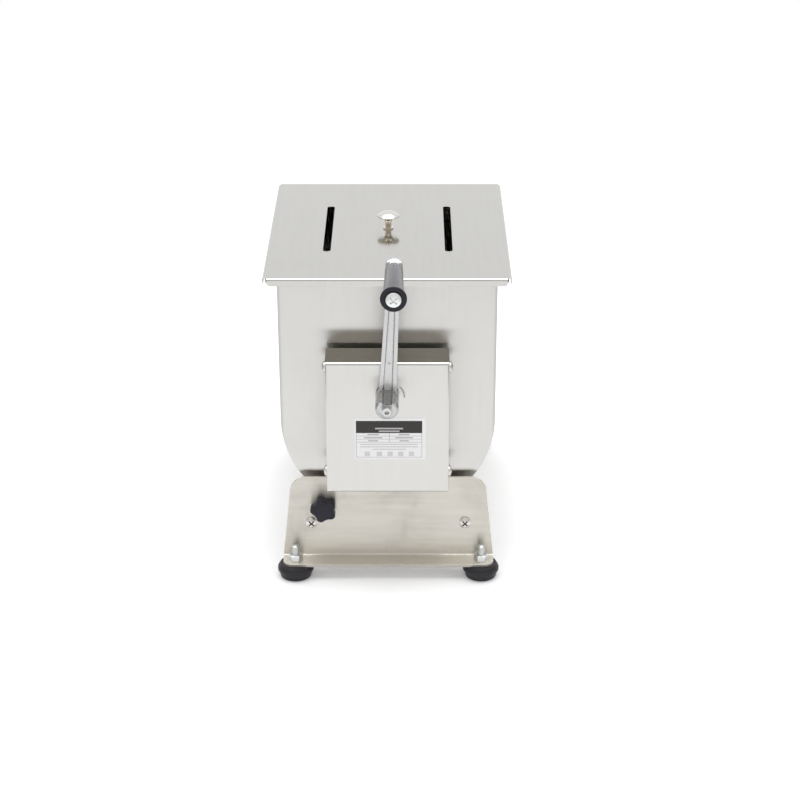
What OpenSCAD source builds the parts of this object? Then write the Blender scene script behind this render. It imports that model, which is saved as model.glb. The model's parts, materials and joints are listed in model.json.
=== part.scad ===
// Hand-cranked meat mixer: a lidded U-shaped tub that tilts between two folded stands,
// a paddle on the tub's long axis, and a geared crank on the front stand.
// Lengths in millimetres, +Z up, the crank faces -Y. The origin lies on the floor,
// midway along the overall length and width.

/* [Tub] */
// Outer width of the tub
tub_w = 222; // [190:1:250]
// Outer length of the tub between its end walls
tub_len = 266; // [220:1:340]
// Height of the tub's lowest point over the floor
tub_clear = 62; // [56:1:80]
// Height of the rim over the tilt axis
tub_rise = 160; // [140:1:190]
// Thickness of the tub's sheet
tub_t = 1; // [0.8:0.1:1.5]
// Width of the rim that is turned outwards
rim_w = 11; // [8:0.5:14]
// Depth of the hem turned down along the rim
rim_hem = 5; // [3:0.5:6]
// Outer radius of the rim's corners
rim_r = 5; // [3:0.5:8]

/* [Lid] */
// Thickness of the lid's sheet
lid_t = 1; // [0.8:0.1:1.5]
// Gap between the rim and the lid's lips
lid_gap = 2; // [1:0.25:3]
// Depth of the lips, from the top of the lid
lid_lip = 8; // [7:0.5:12]
// Outer radius of the fold between the lid and a lip
lid_fold_r = 2.5; // [1.75:0.25:3]
// Length cut away at each end of a lip
lip_relief = 4.5; // [3.5:0.5:8]
// Radius of a lip's lower corners
lip_r = 4; // [2:0.5:4]
// Width of a lid slot
slot_w = 8; // [6:0.5:12]
// Overall length of a lid slot
slot_len = 139; // [100:1:160]
// Distance between the two lid slots
slot_pitch = 126; // [100:1:150]

/* [Lid knob] */
// Diameter of the knob's cap
knob_d = 23.5; // [20:0.5:32]
// Height of the knob's crown over the lid
knob_h = 19.5; // [18:0.5:26]
// Thickness of the cap at its round edge
knob_edge = 1.5; // [1:0.25:3]
// Height of the cap's domed crown
knob_dome = 4.5; // [2:0.25:5.5]
// Diameter of the knob's neck
knob_neck_d = 6.5; // [5:0.5:9]
// Diameter of the washer under the knob
knob_washer_d = 11; // [10:0.5:16]
// Thickness of the washer under the knob
knob_washer_t = 1.5; // [1:0.25:2.5]
// Diameter of the knob's threaded stud
knob_stud_d = 5; // [4:0.5:5]

/* [Stands] */
// Sheet thickness of the two stands
plate_t = 3; // [2:0.25:4]
// Gap between a stand and the tub's end wall
plate_gap = 7; // [6.5:0.25:10]
// Width of a stand at its foot flange
base_w = 222; // [206:1:260]
// Width of a stand just under its shoulders
shoulder_w = 206; // [190:1:222]
// Height of the shoulders over the floor
shoulder_h = 110; // [104:1:122]
// Radius of the shoulders
shoulder_r = 17; // [8:1:25]
// Reach of the foot flange from the stand's outer face
flange_d = 22; // [20:0.5:30]
// Radius of the foot flange's outer corners
flange_r = 10; // [4:0.5:14]
// Inner radius of the folds in the stands
fold_r = 2; // [1:0.25:3]
// Length of the relief at each end of a fold
relief = 4; // [2:0.5:6]
// Width of the rear stand's round-topped post
post_w = 96; // [70:1:130]

/* [Tie rods] */
// Diameter of a tie rod
rod_d = 12; // [10:0.5:14]
// Distance from the stand's lower edge to a tie rod's axis
rod_inset = 30; // [24:1:40]
// Drop of the tie rods' axes under the tub's lowest point
rod_drop = 5; // [0:0.5:8]
// Thread of the tie rod screws and the cover screws
screw_d = 6; // [5:0.5:6]
// Head diameter of the tie rod screws and the cover screws
head_d = 12; // [10:0.5:13]
// Head height of the tie rod screws and the cover screws
head_h = 4; // [3:0.25:5]
// Depth of a screw's thread in its rod
thread_len = 14; // [8:1:20]

/* [Feet] */
// Height of a rubber foot
foot_h = 15; // [12:0.5:20]
// Diameter of a foot at its widest ring
foot_d = 38; // [37:0.5:42]
// Diameter of a foot where it meets the floor
foot_base_d = 32; // [26:1:33]
// Diameter of a foot under its widest ring
foot_waist_d = 34.4; // [34:0.1:36]
// Height of the waist under the widest ring over the floor
foot_waist_h = 6.8; // [5:0.2:8]
// Diameter of a foot under its flange
foot_top_d = 33; // [26:1:38]
// Height of a foot's widest ring over the floor
foot_belt_h = 8.6; // [8.2:0.2:11]
// Distance from the stand's lower edge to a foot's axis
foot_inset = 13; // [11:0.5:20]
// Distance from the stand's outer face to a foot's axis
foot_reach = 11; // [10.5:0.5:13]
// Thread of the foot studs
stud_d = 8; // [6:0.5:8]
// Depth of a stud in its foot
stud_depth = 10; // [5:0.5:11]
// Width of a foot nut across its flats
nut_af = 13; // [12:0.5:14]
// Height of a foot nut
nut_h = 7.5; // [4:0.5:8]
// Length of stud that stands out of its nut
stud_proud = 10; // [1:0.5:14]

/* [Tilt pivot] */
// Outer diameter of a trunnion
trunnion_d = 30; // [27:0.5:32]
// Bore of a trunnion
trunnion_bore = 24; // [22:0.5:25]
// Diameter of a trunnion's welded flange
trunnion_flange_d = 52; // [48:1:60]
// Thickness of a trunnion's welded flange
trunnion_flange_t = 2; // [1.5:0.25:3]
// Length of trunnion that stands out of the stand
trunnion_proud = 2; // [1:0.25:4]
// Wall of a pivot bush
pivot_wall = 3; // [2:0.25:4]
// Width of a pivot bush's thrust flange
pivot_flange = 5; // [3:0.5:7]
// Thickness of the collar of a shaft bush inside the tub
collar_t = 3; // [2:0.25:5]
// Width of the collar of a shaft bush inside the tub
collar_w = 5; // [3:0.5:8]

/* [Gear train] */
// Module of the gears
gear_module = 1.5; // [1.4:0.02:1.6]
// Teeth of the crank's pinion
pinion_teeth = 16; // [15:1:20]
// Teeth of the paddle's gear
gear_teeth = 48; // [42:1:52]
// Width of the gears' teeth
face_w = 12; // [8:0.5:16]
// Pressure angle of the teeth
pressure_angle = 20; // [18:1:22]
// Play cut from each flank
backlash = 0.12; // [0.06:0.01:0.2]
// Width of the gear's rim inside its teeth
gear_rim = 5; // [3:0.25:7]
// Depth of the recess in each side of the gear
gear_recess = 3; // [1:0.25:3.5]
// Diameter of the gear's hub
gear_hub_d = 32; // [28:1:36]
// Length of the gear's hub on either side of its teeth
gear_hub_len = 3; // [2:0.25:6]
// Diameter of the holes in the gear's web
web_hole_d = 9; // [5:0.5:10]
// Number of holes in the gear's web
web_holes = 6; // [4:1:8]
// Diameter of the pinion's hubs
pinion_hub_d = 18; // [17:0.25:19]
// Diameter of the crank shaft
crank_shaft_d = 12; // [11:0.25:12.5]
// Diameter of the drive shaft
drive_shaft_d = 18; // [16:0.5:18.5]
// Diameter of the drive shaft's outer journal
journal_d = 14; // [12:0.5:14.5]
// Wall of the bushes in the gearbox
bush_wall = 3; // [2:0.25:3.5]
// Thickness of the flanges on the bushes in the gearbox
bush_flange_t = 2; // [1:0.25:3]
// Width of the flanges on the bushes in the gearbox
bush_flange = 3; // [2:0.25:4]
// Width and height of the pinion's key
pinion_key = 4; // [3:0.25:4]
// Width and height of the gear's key
gear_key_w = 6; // [4:0.25:6]
// Thickness of the retaining rings
ring_t = 1; // [0.8:0.1:1.5]
// Width of the retaining rings
ring_w = 3; // [2:0.25:4]
// Depth of the grooves for the retaining rings
groove = 0.75; // [0.4:0.05:1]

/* [Gearbox] */
// Thickness of the bearing bridge
bridge_t = 3; // [2:0.25:4]
// Clearance between the gear's tips and the bridge's legs
leg_clear = 6.75; // [3:0.25:10]
// Width of the bridge's feet
tab_w = 9; // [9:0.5:14]
// Length of the bridge above the crank axis and below the paddle axis
bridge_end = 18; // [17:0.5:24]
// Distance from the bridge's ends to its screws
tab_screw_in = 9; // [6:0.5:14]
// Thread of the bridge screws
tab_screw_d = 5; // [4:0.5:5]
// Room between the bridge and the front of the cover
cover_room = 8.2; // [6:0.2:14]
// Thickness of the cover's sheet
cover_t = 1; // [0.8:0.1:2]
// Outer radius of the folds round the front of the cover
cover_r = 3; // [2.25:0.25:5]
// Radius of the cover's lower corners
cover_corner = 2.5; // [2.25:0.25:3.5]
// Height of the cover's top over the crank axis
cover_head = 35; // [31:0.5:45]
// Gap between the cover and the stand
cover_fit = 0.3; // [0.2:0.05:0.5]
// Diameter of the hole for the crank shaft
cover_hole_d = 16; // [14:0.5:20]
// Distance from the cover's top and bottom to its screws
cover_screw_in = 14; // [13:0.5:18]
// Distance from the stand's outer face to the cover screws
cover_screw_reach = 11.8; // [11:0.2:14]
// Height of the weld nuts for the cover screws
weld_nut_h = 5; // [4:0.25:6]
// Width of the weld nuts across their flats
weld_nut_af = 10; // [9:0.5:11]

/* [Crank] */
// Distance from the crank axis to the grip's axis
crank_r = 140; // [110:1:170]
// Lean of the crank at rest, away from upright
crank_lean = 3; // [0:0.5:20]
// Gap between the cover and the crank's hub
hub_gap = 2.3; // [1.5:0.1:5]
// Diameter of the crank's hub
hub_d = 23.5; // [21:0.5:28]
// Length of the crank's hub
hub_len = 32; // [24:0.5:40]
// Radius of the hub's front edge
hub_edge_r = 3; // [1:0.25:3.5]
// Height of the hub's front face over its axis, under the slanted shoulder
hub_face_top = 6.2; // [6:0.2:9]
// Thickness of the crank's arm
arm_t = 9; // [7:0.25:11]
// Distance from the back of the hub to the back of the arm
arm_set = 1; // [0.5:0.25:3]
// Width of the arm at the hub
arm_hub_w = 17.8; // [15:0.2:20]
// Width of the arm at the grip
arm_tip_w = 12.4; // [11:0.2:15]
// Diameter of the boss at the grip's end of the arm
boss_d = 17; // [15:0.5:20]
// Distance from the grip's axis to the middle of the arm's round end
arm_over = 3; // [1:0.5:4]
// Width of the raised borders along the arm
arm_border = 3.6; // [2.5:0.1:4]
// Depth of the recess in each face of the arm
arm_recess = 1.5; // [0.5:0.25:2]
// Run of the sloped walls round the recess
arm_slope = 1.2; // [0.2:0.1:1.5]
// Diameter of the small pit in the arm's front
arm_pit_d = 2.4; // [1:0.2:3]
// Distance from the crank axis to the small pit
arm_pit_at = 40; // [25:1:80]
// Depth of the flat on the crank shaft's end
shaft_flat = 1.5; // [0.75:0.25:2]
// Distance from the shaft's end to the front of the hub
shaft_short = 4; // [3:0.25:6]
// Diameter of the washer on the crank
crank_washer_d = 10.5; // [10:0.25:12]
// Thickness of the washer on the crank
crank_washer_t = 1.5; // [1:0.25:2.5]
// Thread of the crank's screw
crank_screw_d = 6; // [4:0.5:6]
// Head diameter of the crank's screw
crank_head_d = 9; // [8:0.5:9.5]
// Head height of the crank's screw
crank_head_h = 6; // [4:0.5:8]

/* [Grip] */
// Length of the grip
grip_len = 75; // [60:0.5:95]
// Diameter of the grip at the arm
grip_d = 17.5; // [15:0.25:22]
// Chamfer on the grip's inner end
grip_chamfer = 1; // [0.5:0.25:2]
// Diameter of the grip before its end disc
grip_wide_d = 19.8; // [17:0.2:24]
// Diameter of the grip's end disc
grip_disc_d = 25.5; // [25:0.5:32]
// Thickness of the grip's end disc
grip_disc_t = 4; // [3:0.25:6]
// Length of the flare into the end disc
grip_flare = 7; // [4:0.5:12]
// Length of the collar between the arm and the grip
grip_collar_len = 2.5; // [1.5:0.5:8]
// Diameter of the collar between the arm and the grip
grip_collar_d = 16.5; // [13:0.25:18]
// Diameter of the grip's bolt
grip_bolt_d = 8; // [6:0.5:8]
// Head diameter of the grip's bolt
grip_head_d = 15.5; // [13:0.25:17]
// Head height of the grip's bolt
grip_head_h = 4; // [3:0.25:5]
// Depth of the seat for the bolt's head
grip_seat = 1; // [0.5:0.25:2]

/* [Paddle] */
// Outer diameter of the paddle's tube
tube_d = 28; // [26:0.5:32]
// Gap between the blades' tips and the tub
blade_gap = 6; // [4:0.5:12]
// Width of a blade
blade_w = 46; // [36:1:52]
// Width of a blade's neck
blade_neck_w = 18; // [12:0.5:22]
// Length of a blade's broad end
blade_len = 42; // [30:1:50]
// Length over which a blade widens
blade_taper = 16; // [8:1:20]
// Radius of a blade's outer corners
blade_r = 8; // [3:0.5:12]
// Thickness of a blade
blade_t = 3; // [2:0.25:4]
// Twist of a blade about its own length
blade_twist = 35; // [15:1:45]
// Length of shaft inside each end of the tube
shaft_grip = 30; // [22:1:40]
// Diameter of the cross pins
pin_d = 6; // [4:0.5:7]
// Diameter of the rear axle's head
axle_head_d = 30; // [27:0.5:36]
// Thickness of the rear axle's head
axle_head_t = 4; // [2:0.25:6]

/* [Tub lock] */
// Angle of the lock from straight under the axis
lock_angle = 35.2; // [30:0.2:40]
// Distance from the tub's rounded bottom to the lock's axis
lock_reach = 6.1; // [3:0.1:8]
// Thread of the lock's screw
lock_d = 8; // [6:0.5:9]
// Diameter of the star knob
star_d = 28; // [25:0.5:32]
// Thickness of the star knob
star_t = 12; // [9:0.5:16]
// Diameter of a lobe's tip
lobe_d = 8.4; // [6.4:0.2:9]
// Depth of the scallops between the lobes
scallop_depth = 3.2; // [2.2:0.1:3.4]
// Radius of the star knob's crowned face
star_crown_r = 52; // [40:1:80]
// Length of the star knob's neck
neck_len = 2; // [1:0.25:4]
// Diameter of the star knob's neck
neck_d = 14; // [12:0.5:15]
// Length of screw inside the star knob
lock_grip = 8; // [5:0.5:9]
// Diameter of the washer under the star knob
lock_washer_d = 16; // [15:0.5:18]
// Thickness of the washer under the star knob
lock_washer_t = 1.6; // [1:0.2:2.4]
// Width of the lock's lug on the tub
lug_w = 28; // [22:1:36]
// Thickness of the lock's lug
lug_t = 2; // [1.5:0.25:3]
// Length of lug inside the edge of the end wall
lug_in = 16; // [10:1:22]
// Length of lug outside the lock's axis
lug_out = 10; // [7:0.5:12]
// Radius of the lug's outer corners
lug_r = 7; // [3:0.5:10]
// Gap through which the lug passes the lock's weld nut
lug_pass = 1; // [0.5:0.1:1.5]

/* [Hidden] */
$fn = 64;
// Radial play of what turns, axial play of what turns, and radial play of what is fixed
run_gap = 0.05;
end_gap = 0.3;
seat_gap = 0.02;
// Play round a screw in a plain hole
screw_play = 0.4;
// Overshoot of cutting tools
over = 1;
// Widths and heights of standard nuts and heads, in thread diameters
nut_wide = 1.6;
nut_tall = 0.8;
head_wide = 1.6;
head_tall = 0.6;
// Width and length of a cross recess, in head diameters
cross_wide = 1 / 8;
cross_long = 0.6;
// Height of a pan head's dome, as a share of the head's height
pan_dome = 0.55;
// Opening of a retaining ring, in shaft diameters
ring_open = 0.4;
// Share of a key's height that is sunk in its shaft
key_sunk = 0.6;
// Depth of a tooth's root under the pitch circle, in modules, and steps along a flank
dedendum = 1.25;
flank_steps = 4;
// Lobes of the star knob and blades of the paddle
lobes = 5;
blades = 4;

// Heights
axis_h = tub_clear + tub_w / 2;
pinion_pitch_r = gear_module * pinion_teeth / 2;
gear_pitch_r = gear_module * gear_teeth / 2;
crank_h = axis_h + pinion_pitch_r + gear_pitch_r;
rim_h = axis_h + tub_rise;
rod_h = tub_clear - rod_drop;
fold_out = fold_r + plate_t;
upright_h = foot_h + fold_out;

// Distances outward from the tub-side face of a stand
out_face = plate_t;
wall_face = -plate_gap;
trunnion_end = out_face + trunnion_proud;
gear_back = trunnion_end + gear_hub_len;
gear_front = gear_back + face_w;
bush_in = gear_front + gear_hub_len + end_gap;
bridge_back = bush_in + bush_flange_t;
bridge_front = bridge_back + bridge_t;
bush_out = bridge_front + bush_flange_t;
journal_end = bush_out + 2 * end_gap + 2 * ring_t;
cover_front = bridge_front + cover_room + cover_t;
hub_back = cover_front + hub_gap;
hub_front = hub_back + hub_len;
arm_back = hub_back + arm_set;
arm_front = arm_back + arm_t;
grip_back = arm_front + grip_collar_len + end_gap;
grip_front = grip_back + grip_len;
grip_head_back = grip_front - grip_seat + end_gap;
grip_tip = grip_head_back + grip_head_h;
tube_end = wall_face - tub_t - collar_t - end_gap;
shaft_in = tube_end - shaft_grip;
pin_at = tube_end - shaft_grip / 2;
crank_ring_at = -2 * end_gap - ring_t;
crank_tail = crank_ring_at - ring_t;

// Places along the object
front_length = tub_len / 2 + plate_gap + grip_tip;
rear_length = tub_len / 2 + plate_gap + out_face + max(foot_reach + foot_d / 2, flange_d);
tub_y = (front_length - rear_length) / 2;
front_y = tub_y - tub_len / 2 - plate_gap;
rear_y = tub_y + tub_len / 2 + plate_gap;

// Widths
gear_tip_r = gear_pitch_r + gear_module;
leg_x = gear_tip_r + leg_clear;
tower_w = 2 * (leg_x + bridge_t + tab_w + fold_out);
cover_w = tower_w + 2 * (cover_fit + cover_t);
cover_low = shoulder_h + cover_fit;
cover_high = crank_h + cover_head;
tower_high = cover_high - cover_t - cover_fit;
side_flange = cover_screw_reach + weld_nut_af / 2 + relief;
rod_x = base_w / 2 - rod_inset;
foot_x = base_w / 2 - foot_inset;
lid_w = tub_w + 2 * (rim_w + lid_gap + lid_t);
lid_len = tub_len + 2 * (rim_w + lid_gap + lid_t);
lid_h = rim_h + lid_t;
lock_r = tub_w / 2 + lock_reach;
lock_x = -lock_r * sin(lock_angle);
lock_h = axis_h - lock_r * cos(lock_angle);
lock_nut_h = plate_gap - lug_t - lug_pass;
star_back = out_face + lock_washer_t + neck_len;
pivot_d = trunnion_d + 2 * pivot_wall;
crank_seat_d = crank_shaft_d + 2 * (run_gap + bush_wall + seat_gap);
drive_seat_d = journal_d + 2 * (run_gap + bush_wall + seat_gap);
blade_tip = tub_w / 2 - tub_t - blade_gap;
blade_step = (tub_len - 2 * tub_t) / blades;
knob_nut_h = nut_tall * knob_stud_d;

// Frames: in each, +Y points outward from the tub-side face of a stand
module at_front() {
  translate([0, front_y, 0]) mirror([0, 1, 0]) children();
}

module at_rear() {
  translate([0, rear_y, 0]) children();
}

module on_axis() {
  translate([0, 0, axis_h]) children();
}

module on_crank() {
  translate([0, 0, crank_h]) children();
}

module on_grip() {
  on_crank() rotate([0, crank_lean, 0]) translate([0, 0, crank_r]) children();
}

module on_lock() {
  translate([lock_x, 0, lock_h]) children();
}

module both_sides() {
  children();
  mirror([1, 0, 0]) children();
}

// A round bar along Y
module bar(d, from, to) {
  translate([0, from, 0]) rotate([-90, 0, 0]) cylinder(d = d, h = to - from);
}

// A round bar along Y with a bore
module sleeve(d, bore, from, to) {
  difference() {
    bar(d, from, to);
    bar(bore, from - over, to + over);
  }
}

// An outline in X and Z given a thickness along Y
module slab(from, to) {
  translate([0, to, 0]) rotate([90, 0, 0]) linear_extrude(height = to - from) children();
}

// A flat outline with four round corners, centred
module round_rect(w, len, r) {
  square([w - 2 * r, len], center = true);
  square([w, len - 2 * r], center = true);
  for (x = [-1, 1], y = [-1, 1]) translate([x * (w / 2 - r), y * (len / 2 - r)]) circle(r = r);
}

// A quarter ring that joins two sheets, in the corner of -X and -Y
module fold_section(outer, inner) {
  intersection() {
    difference() {
      circle(r = outer);
      circle(r = inner);
    }
    translate([-outer, -outer]) square(outer);
  }
}

// A domed screw head with a cross recess, standing on Z = 0
module pan_head(d, h) {
  dome_h = pan_dome * h;
  dome_r = (d * d / 4 + dome_h * dome_h) / (2 * dome_h);
  cross_w = cross_wide * d;
  cross_len = cross_long * d;
  difference() {
    intersection() {
      cylinder(d = d, h = h);
      translate([0, 0, h - dome_r]) sphere(r = dome_r);
    }
    for (turn = [0, 90]) rotate([0, 0, turn + 45]) {
      translate([-cross_len / 2, -cross_w / 2, h / 2]) cube([cross_len, cross_w, h]);
    }
  }
}

// A pan head screw along +Z, its head's seat at Z = 0 and its thread downwards
module pan_screw(d, head, height, len) {
  pan_head(head, height);
  translate([0, 0, -len]) cylinder(d = d, h = len + over);
}

// A hex nut on Z = 0
module hex_nut(af, h, bore) {
  difference() {
    cylinder(d = af / cos(30), h = h, $fn = 6);
    translate([0, 0, -over]) cylinder(d = bore, h = h + 2 * over);
  }
}

// A flanged bush along Y, its flange first
module flanged_bush(bore, wall, flange_w, flange_from, flange_to, body_to) {
  difference() {
    union() {
      bar(bore + 2 * (wall + flange_w), min(flange_from, flange_to), max(flange_from, flange_to));
      bar(bore + 2 * wall, min(flange_from, body_to), max(flange_from, body_to));
    }
    bar(bore, min(flange_from, body_to) - over, max(flange_from, body_to) + over);
  }
}

// An open retaining ring along Y, in a groove of the given shaft
module retaining_ring(shaft_d, from) {
  bore = shaft_d - 2 * groove + 2 * seat_gap;
  gap_w = ring_open * shaft_d;
  difference() {
    sleeve(bore + 2 * ring_w, bore, from, from + ring_t);
    translate([-gap_w / 2, from - over, -shaft_d]) cube([gap_w, ring_t + 2 * over, shaft_d]);
  }
}

// The groove for a retaining ring
module ring_groove(shaft_d, from) {
  sleeve(shaft_d + 2 * over, shaft_d - 2 * groove, from - seat_gap, from + ring_t + seat_gap);
}

// Stands
// Outline of a stand under its shoulders: leaning sides that run into round corners
module shoulder_outline() {
  corner_h = shoulder_h - shoulder_r;
  lean = atan((base_w - shoulder_w) / 2 / (corner_h - upright_h));
  corner_x = shoulder_w / 2 - shoulder_r / cos(lean);
  edge_x = corner_x + shoulder_r * cos(lean);
  edge_h = corner_h + shoulder_r * sin(lean);
  polygon([
    [-base_w / 2, upright_h], [base_w / 2, upright_h], [edge_x, edge_h],
    [corner_x, shoulder_h], [-corner_x, shoulder_h], [-edge_x, edge_h]
  ]);
  for (side = [-1, 1]) translate([side * corner_x, corner_h]) circle(r = shoulder_r);
}

// The fold under a stand and the flange that takes the feet
module foot_flange() {
  fold_y = out_face + fold_r;
  flange_len = flange_d - fold_r;
  translate([-base_w / 2, fold_y, upright_h]) rotate([90, 0, 90]) {
    linear_extrude(height = base_w) fold_section(fold_out, fold_r);
  }
  translate([0, fold_y, foot_h]) linear_extrude(height = plate_t) {
    translate([-base_w / 2, 0]) square([base_w, flange_len - flange_r]);
    translate([-base_w / 2 + flange_r, 0]) square([base_w - 2 * flange_r, flange_len]);
    for (side = [-1, 1]) {
      translate([side * (base_w / 2 - flange_r), flange_len - flange_r]) circle(r = flange_r);
    }
  }
}

module at_feet() {
  for (x = [-foot_x, foot_x]) translate([x, out_face + foot_reach, 0]) children();
}

module at_rods() {
  for (x = [-rod_x, rod_x]) translate([x, 0, rod_h]) children();
}

// Holes that both stands have
module stand_holes() {
  on_axis() bar(pivot_d + 2 * seat_gap, -over, out_face + over);
  at_rods() bar(screw_d + screw_play, -over, out_face + over);
  at_feet() cylinder(d = stud_d + screw_play, h = foot_h + fold_out);
}

// The folded edge on each side of the front stand's tower
module tower_side() {
  side_low = shoulder_h + relief;
  fold_x = tower_w / 2 - fold_out;
  fold_y = out_face + fold_r;
  translate([fold_x, fold_y, side_low]) mirror([1, 0, 0]) {
    linear_extrude(height = tower_high - side_low) fold_section(fold_out, fold_r);
  }
  translate([tower_w / 2 - plate_t, fold_y, side_low]) {
    cube([plate_t, side_flange - fold_r, tower_high - side_low]);
  }
}

module at_cover_screws() {
  for (z = [cover_low + cover_screw_in, cover_high - cover_screw_in]) {
    translate([0, out_face + cover_screw_reach, z]) children();
  }
}

module at_tab_screws() {
  for (x = [-1, 1], z = [axis_h - bridge_end + tab_screw_in, crank_h + bridge_end - tab_screw_in]) {
    translate([x * (leg_x + bridge_t + tab_w / 2), 0, z]) children();
  }
}

module front_stand() {
  web_w = tower_w - 2 * fold_out;
  color("gainsboro") at_front() difference() {
    union() {
      slab(0, out_face) {
        shoulder_outline();
        translate([-web_w / 2, upright_h]) square([web_w, tower_high - upright_h]);
      }
      foot_flange();
      both_sides() tower_side();
    }
    stand_holes();
    on_crank() bar(crank_seat_d, -over, out_face + over);
    on_lock() bar(lock_d + screw_play, -over, out_face + over);
    at_tab_screws() bar(tab_screw_d + 2 * seat_gap, -over, out_face + over);
    at_cover_screws() rotate([0, 90, 0]) {
      cylinder(d = screw_d + screw_play, h = cover_w, center = true);
    }
  }
}

module rear_stand() {
  color("gainsboro") at_rear() difference() {
    union() {
      slab(0, out_face) {
        shoulder_outline();
        translate([-post_w / 2, upright_h]) square([post_w, axis_h - upright_h]);
        translate([0, axis_h]) circle(d = post_w);
      }
      foot_flange();
    }
    stand_holes();
  }
}

module tie_rods() {
  color("lightgray") at_rods() difference() {
    bar(rod_d, front_y, rear_y);
    for (ends = [[front_y, front_y + thread_len + over], [rear_y - thread_len - over, rear_y]]) {
      bar(screw_d + 2 * seat_gap, ends[0] - over, ends[1] + over);
    }
  }
}

module rod_screw_pair() {
  at_rods() translate([0, out_face, 0]) rotate([-90, 0, 0]) {
    pan_screw(screw_d, head_d, head_h, plate_t + thread_len);
  }
}

module tie_rod_screws() {
  color("silver") at_front() rod_screw_pair();
  color("silver") at_rear() rod_screw_pair();
}

// Feet
module rubber_foot() {
  difference() {
    rotate_extrude() polygon([
      [0, 0], [foot_base_d / 2, 0], [foot_waist_d / 2, foot_waist_h],
      [foot_d / 2, foot_belt_h], [foot_top_d / 2, foot_h], [0, foot_h]
    ]);
    translate([0, 0, foot_h - stud_depth]) cylinder(d = stud_d + 2 * seat_gap, h = stud_depth + over);
  }
}

module foot_stud() {
  stud_top = foot_h + plate_t + nut_h + stud_proud;
  translate([0, 0, foot_h - stud_depth]) cylinder(d = stud_d, h = stud_top - foot_h + stud_depth);
}

module foot_nut() {
  translate([0, 0, foot_h + plate_t]) hex_nut(nut_af, nut_h, stud_d + 2 * seat_gap);
}

module rubber_feet() {
  color("dimgray") at_front() at_feet() rubber_foot();
  color("dimgray") at_rear() at_feet() rubber_foot();
}

module foot_studs() {
  color("silver") at_front() at_feet() foot_stud();
  color("silver") at_rear() at_feet() foot_stud();
}

module foot_nuts() {
  color("silver") at_front() at_feet() foot_nut();
  color("silver") at_rear() at_feet() foot_nut();
}

// Tilt pivot
// The bush in a stand, with a thrust flange that fills the gap to the trunnion
module pivot_bush() {
  thrust = wall_face + trunnion_flange_t + end_gap;
  on_axis() difference() {
    union() {
      bar(pivot_d + 2 * pivot_flange, thrust, 0);
      bar(pivot_d, thrust, out_face + end_gap);
    }
    bar(trunnion_d + 2 * run_gap, thrust - over, out_face + over);
  }
}

// The tube welded through an end wall of the tub
module trunnion() {
  on_axis() difference() {
    union() {
      bar(trunnion_flange_d, wall_face, wall_face + trunnion_flange_t);
      bar(trunnion_d, wall_face - tub_t, trunnion_end);
    }
    bar(trunnion_bore, wall_face - tub_t - over, trunnion_end + over);
  }
}

// The bush in a trunnion, with a collar inside the tub
module shaft_bush() {
  collar_d = trunnion_bore + 2 * collar_w;
  collar_at = wall_face - tub_t;
  on_axis() difference() {
    union() {
      bar(collar_d, collar_at - collar_t, collar_at);
      bar(trunnion_bore - 2 * seat_gap, collar_at - collar_t, trunnion_end);
    }
    bar(drive_shaft_d + 2 * run_gap, collar_at - collar_t - over, trunnion_end + over);
  }
}

module front_pivot_bush() {
  color("whitesmoke") at_front() pivot_bush();
}

module rear_pivot_bush() {
  color("whitesmoke") at_rear() pivot_bush();
}

module front_trunnion() {
  color("silver") at_front() trunnion();
}

module rear_trunnion() {
  color("silver") at_rear() trunnion();
}

module front_shaft_bush() {
  color("white") at_front() shaft_bush();
}

module rear_shaft_bush() {
  color("white") at_rear() shaft_bush();
}

// Tub
// The tub's section: a half round under two straight sides
module tub_section(inset, top) {
  r = tub_w / 2 - inset;
  translate([0, axis_h]) {
    circle(r = r);
    translate([-r, 0]) square([2 * r, top]);
  }
}

module tub() {
  rim_out_w = tub_w + 2 * rim_w;
  rim_out_len = tub_len + 2 * rim_w;
  color("gainsboro") difference() {
    union() {
      translate([0, tub_y, 0]) slab(-tub_len / 2, tub_len / 2) tub_section(0, tub_rise);
      translate([0, tub_y, rim_h - rim_hem]) difference() {
        linear_extrude(height = rim_hem) round_rect(rim_out_w, rim_out_len, rim_r);
        translate([0, 0, -tub_t]) linear_extrude(height = rim_hem) {
          round_rect(rim_out_w - 2 * tub_t, rim_out_len - 2 * tub_t, rim_r - tub_t);
        }
      }
    }
    translate([0, tub_y, 0]) slab(-tub_len / 2 + tub_t, tub_len / 2 - tub_t) {
      tub_section(tub_t, tub_rise + over);
    }
    on_axis() bar(trunnion_d + 2 * seat_gap, front_y, rear_y);
  }
}

// The tab on the tub that the lock's screw bears on
module lock_lug() {
  length = lug_in + lock_reach + lug_out;
  color("silver") at_front() on_axis() rotate([0, lock_angle, 0]) slab(wall_face, wall_face + lug_t) {
    translate([0, -lock_r - lug_out]) {
      translate([-lug_w / 2, lug_r]) square([lug_w, length - lug_r]);
      translate([-lug_w / 2 + lug_r, 0]) square([lug_w - 2 * lug_r, length]);
      for (x = [-1, 1]) translate([x * (lug_w / 2 - lug_r), lug_r]) circle(r = lug_r);
    }
  }
}

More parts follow.
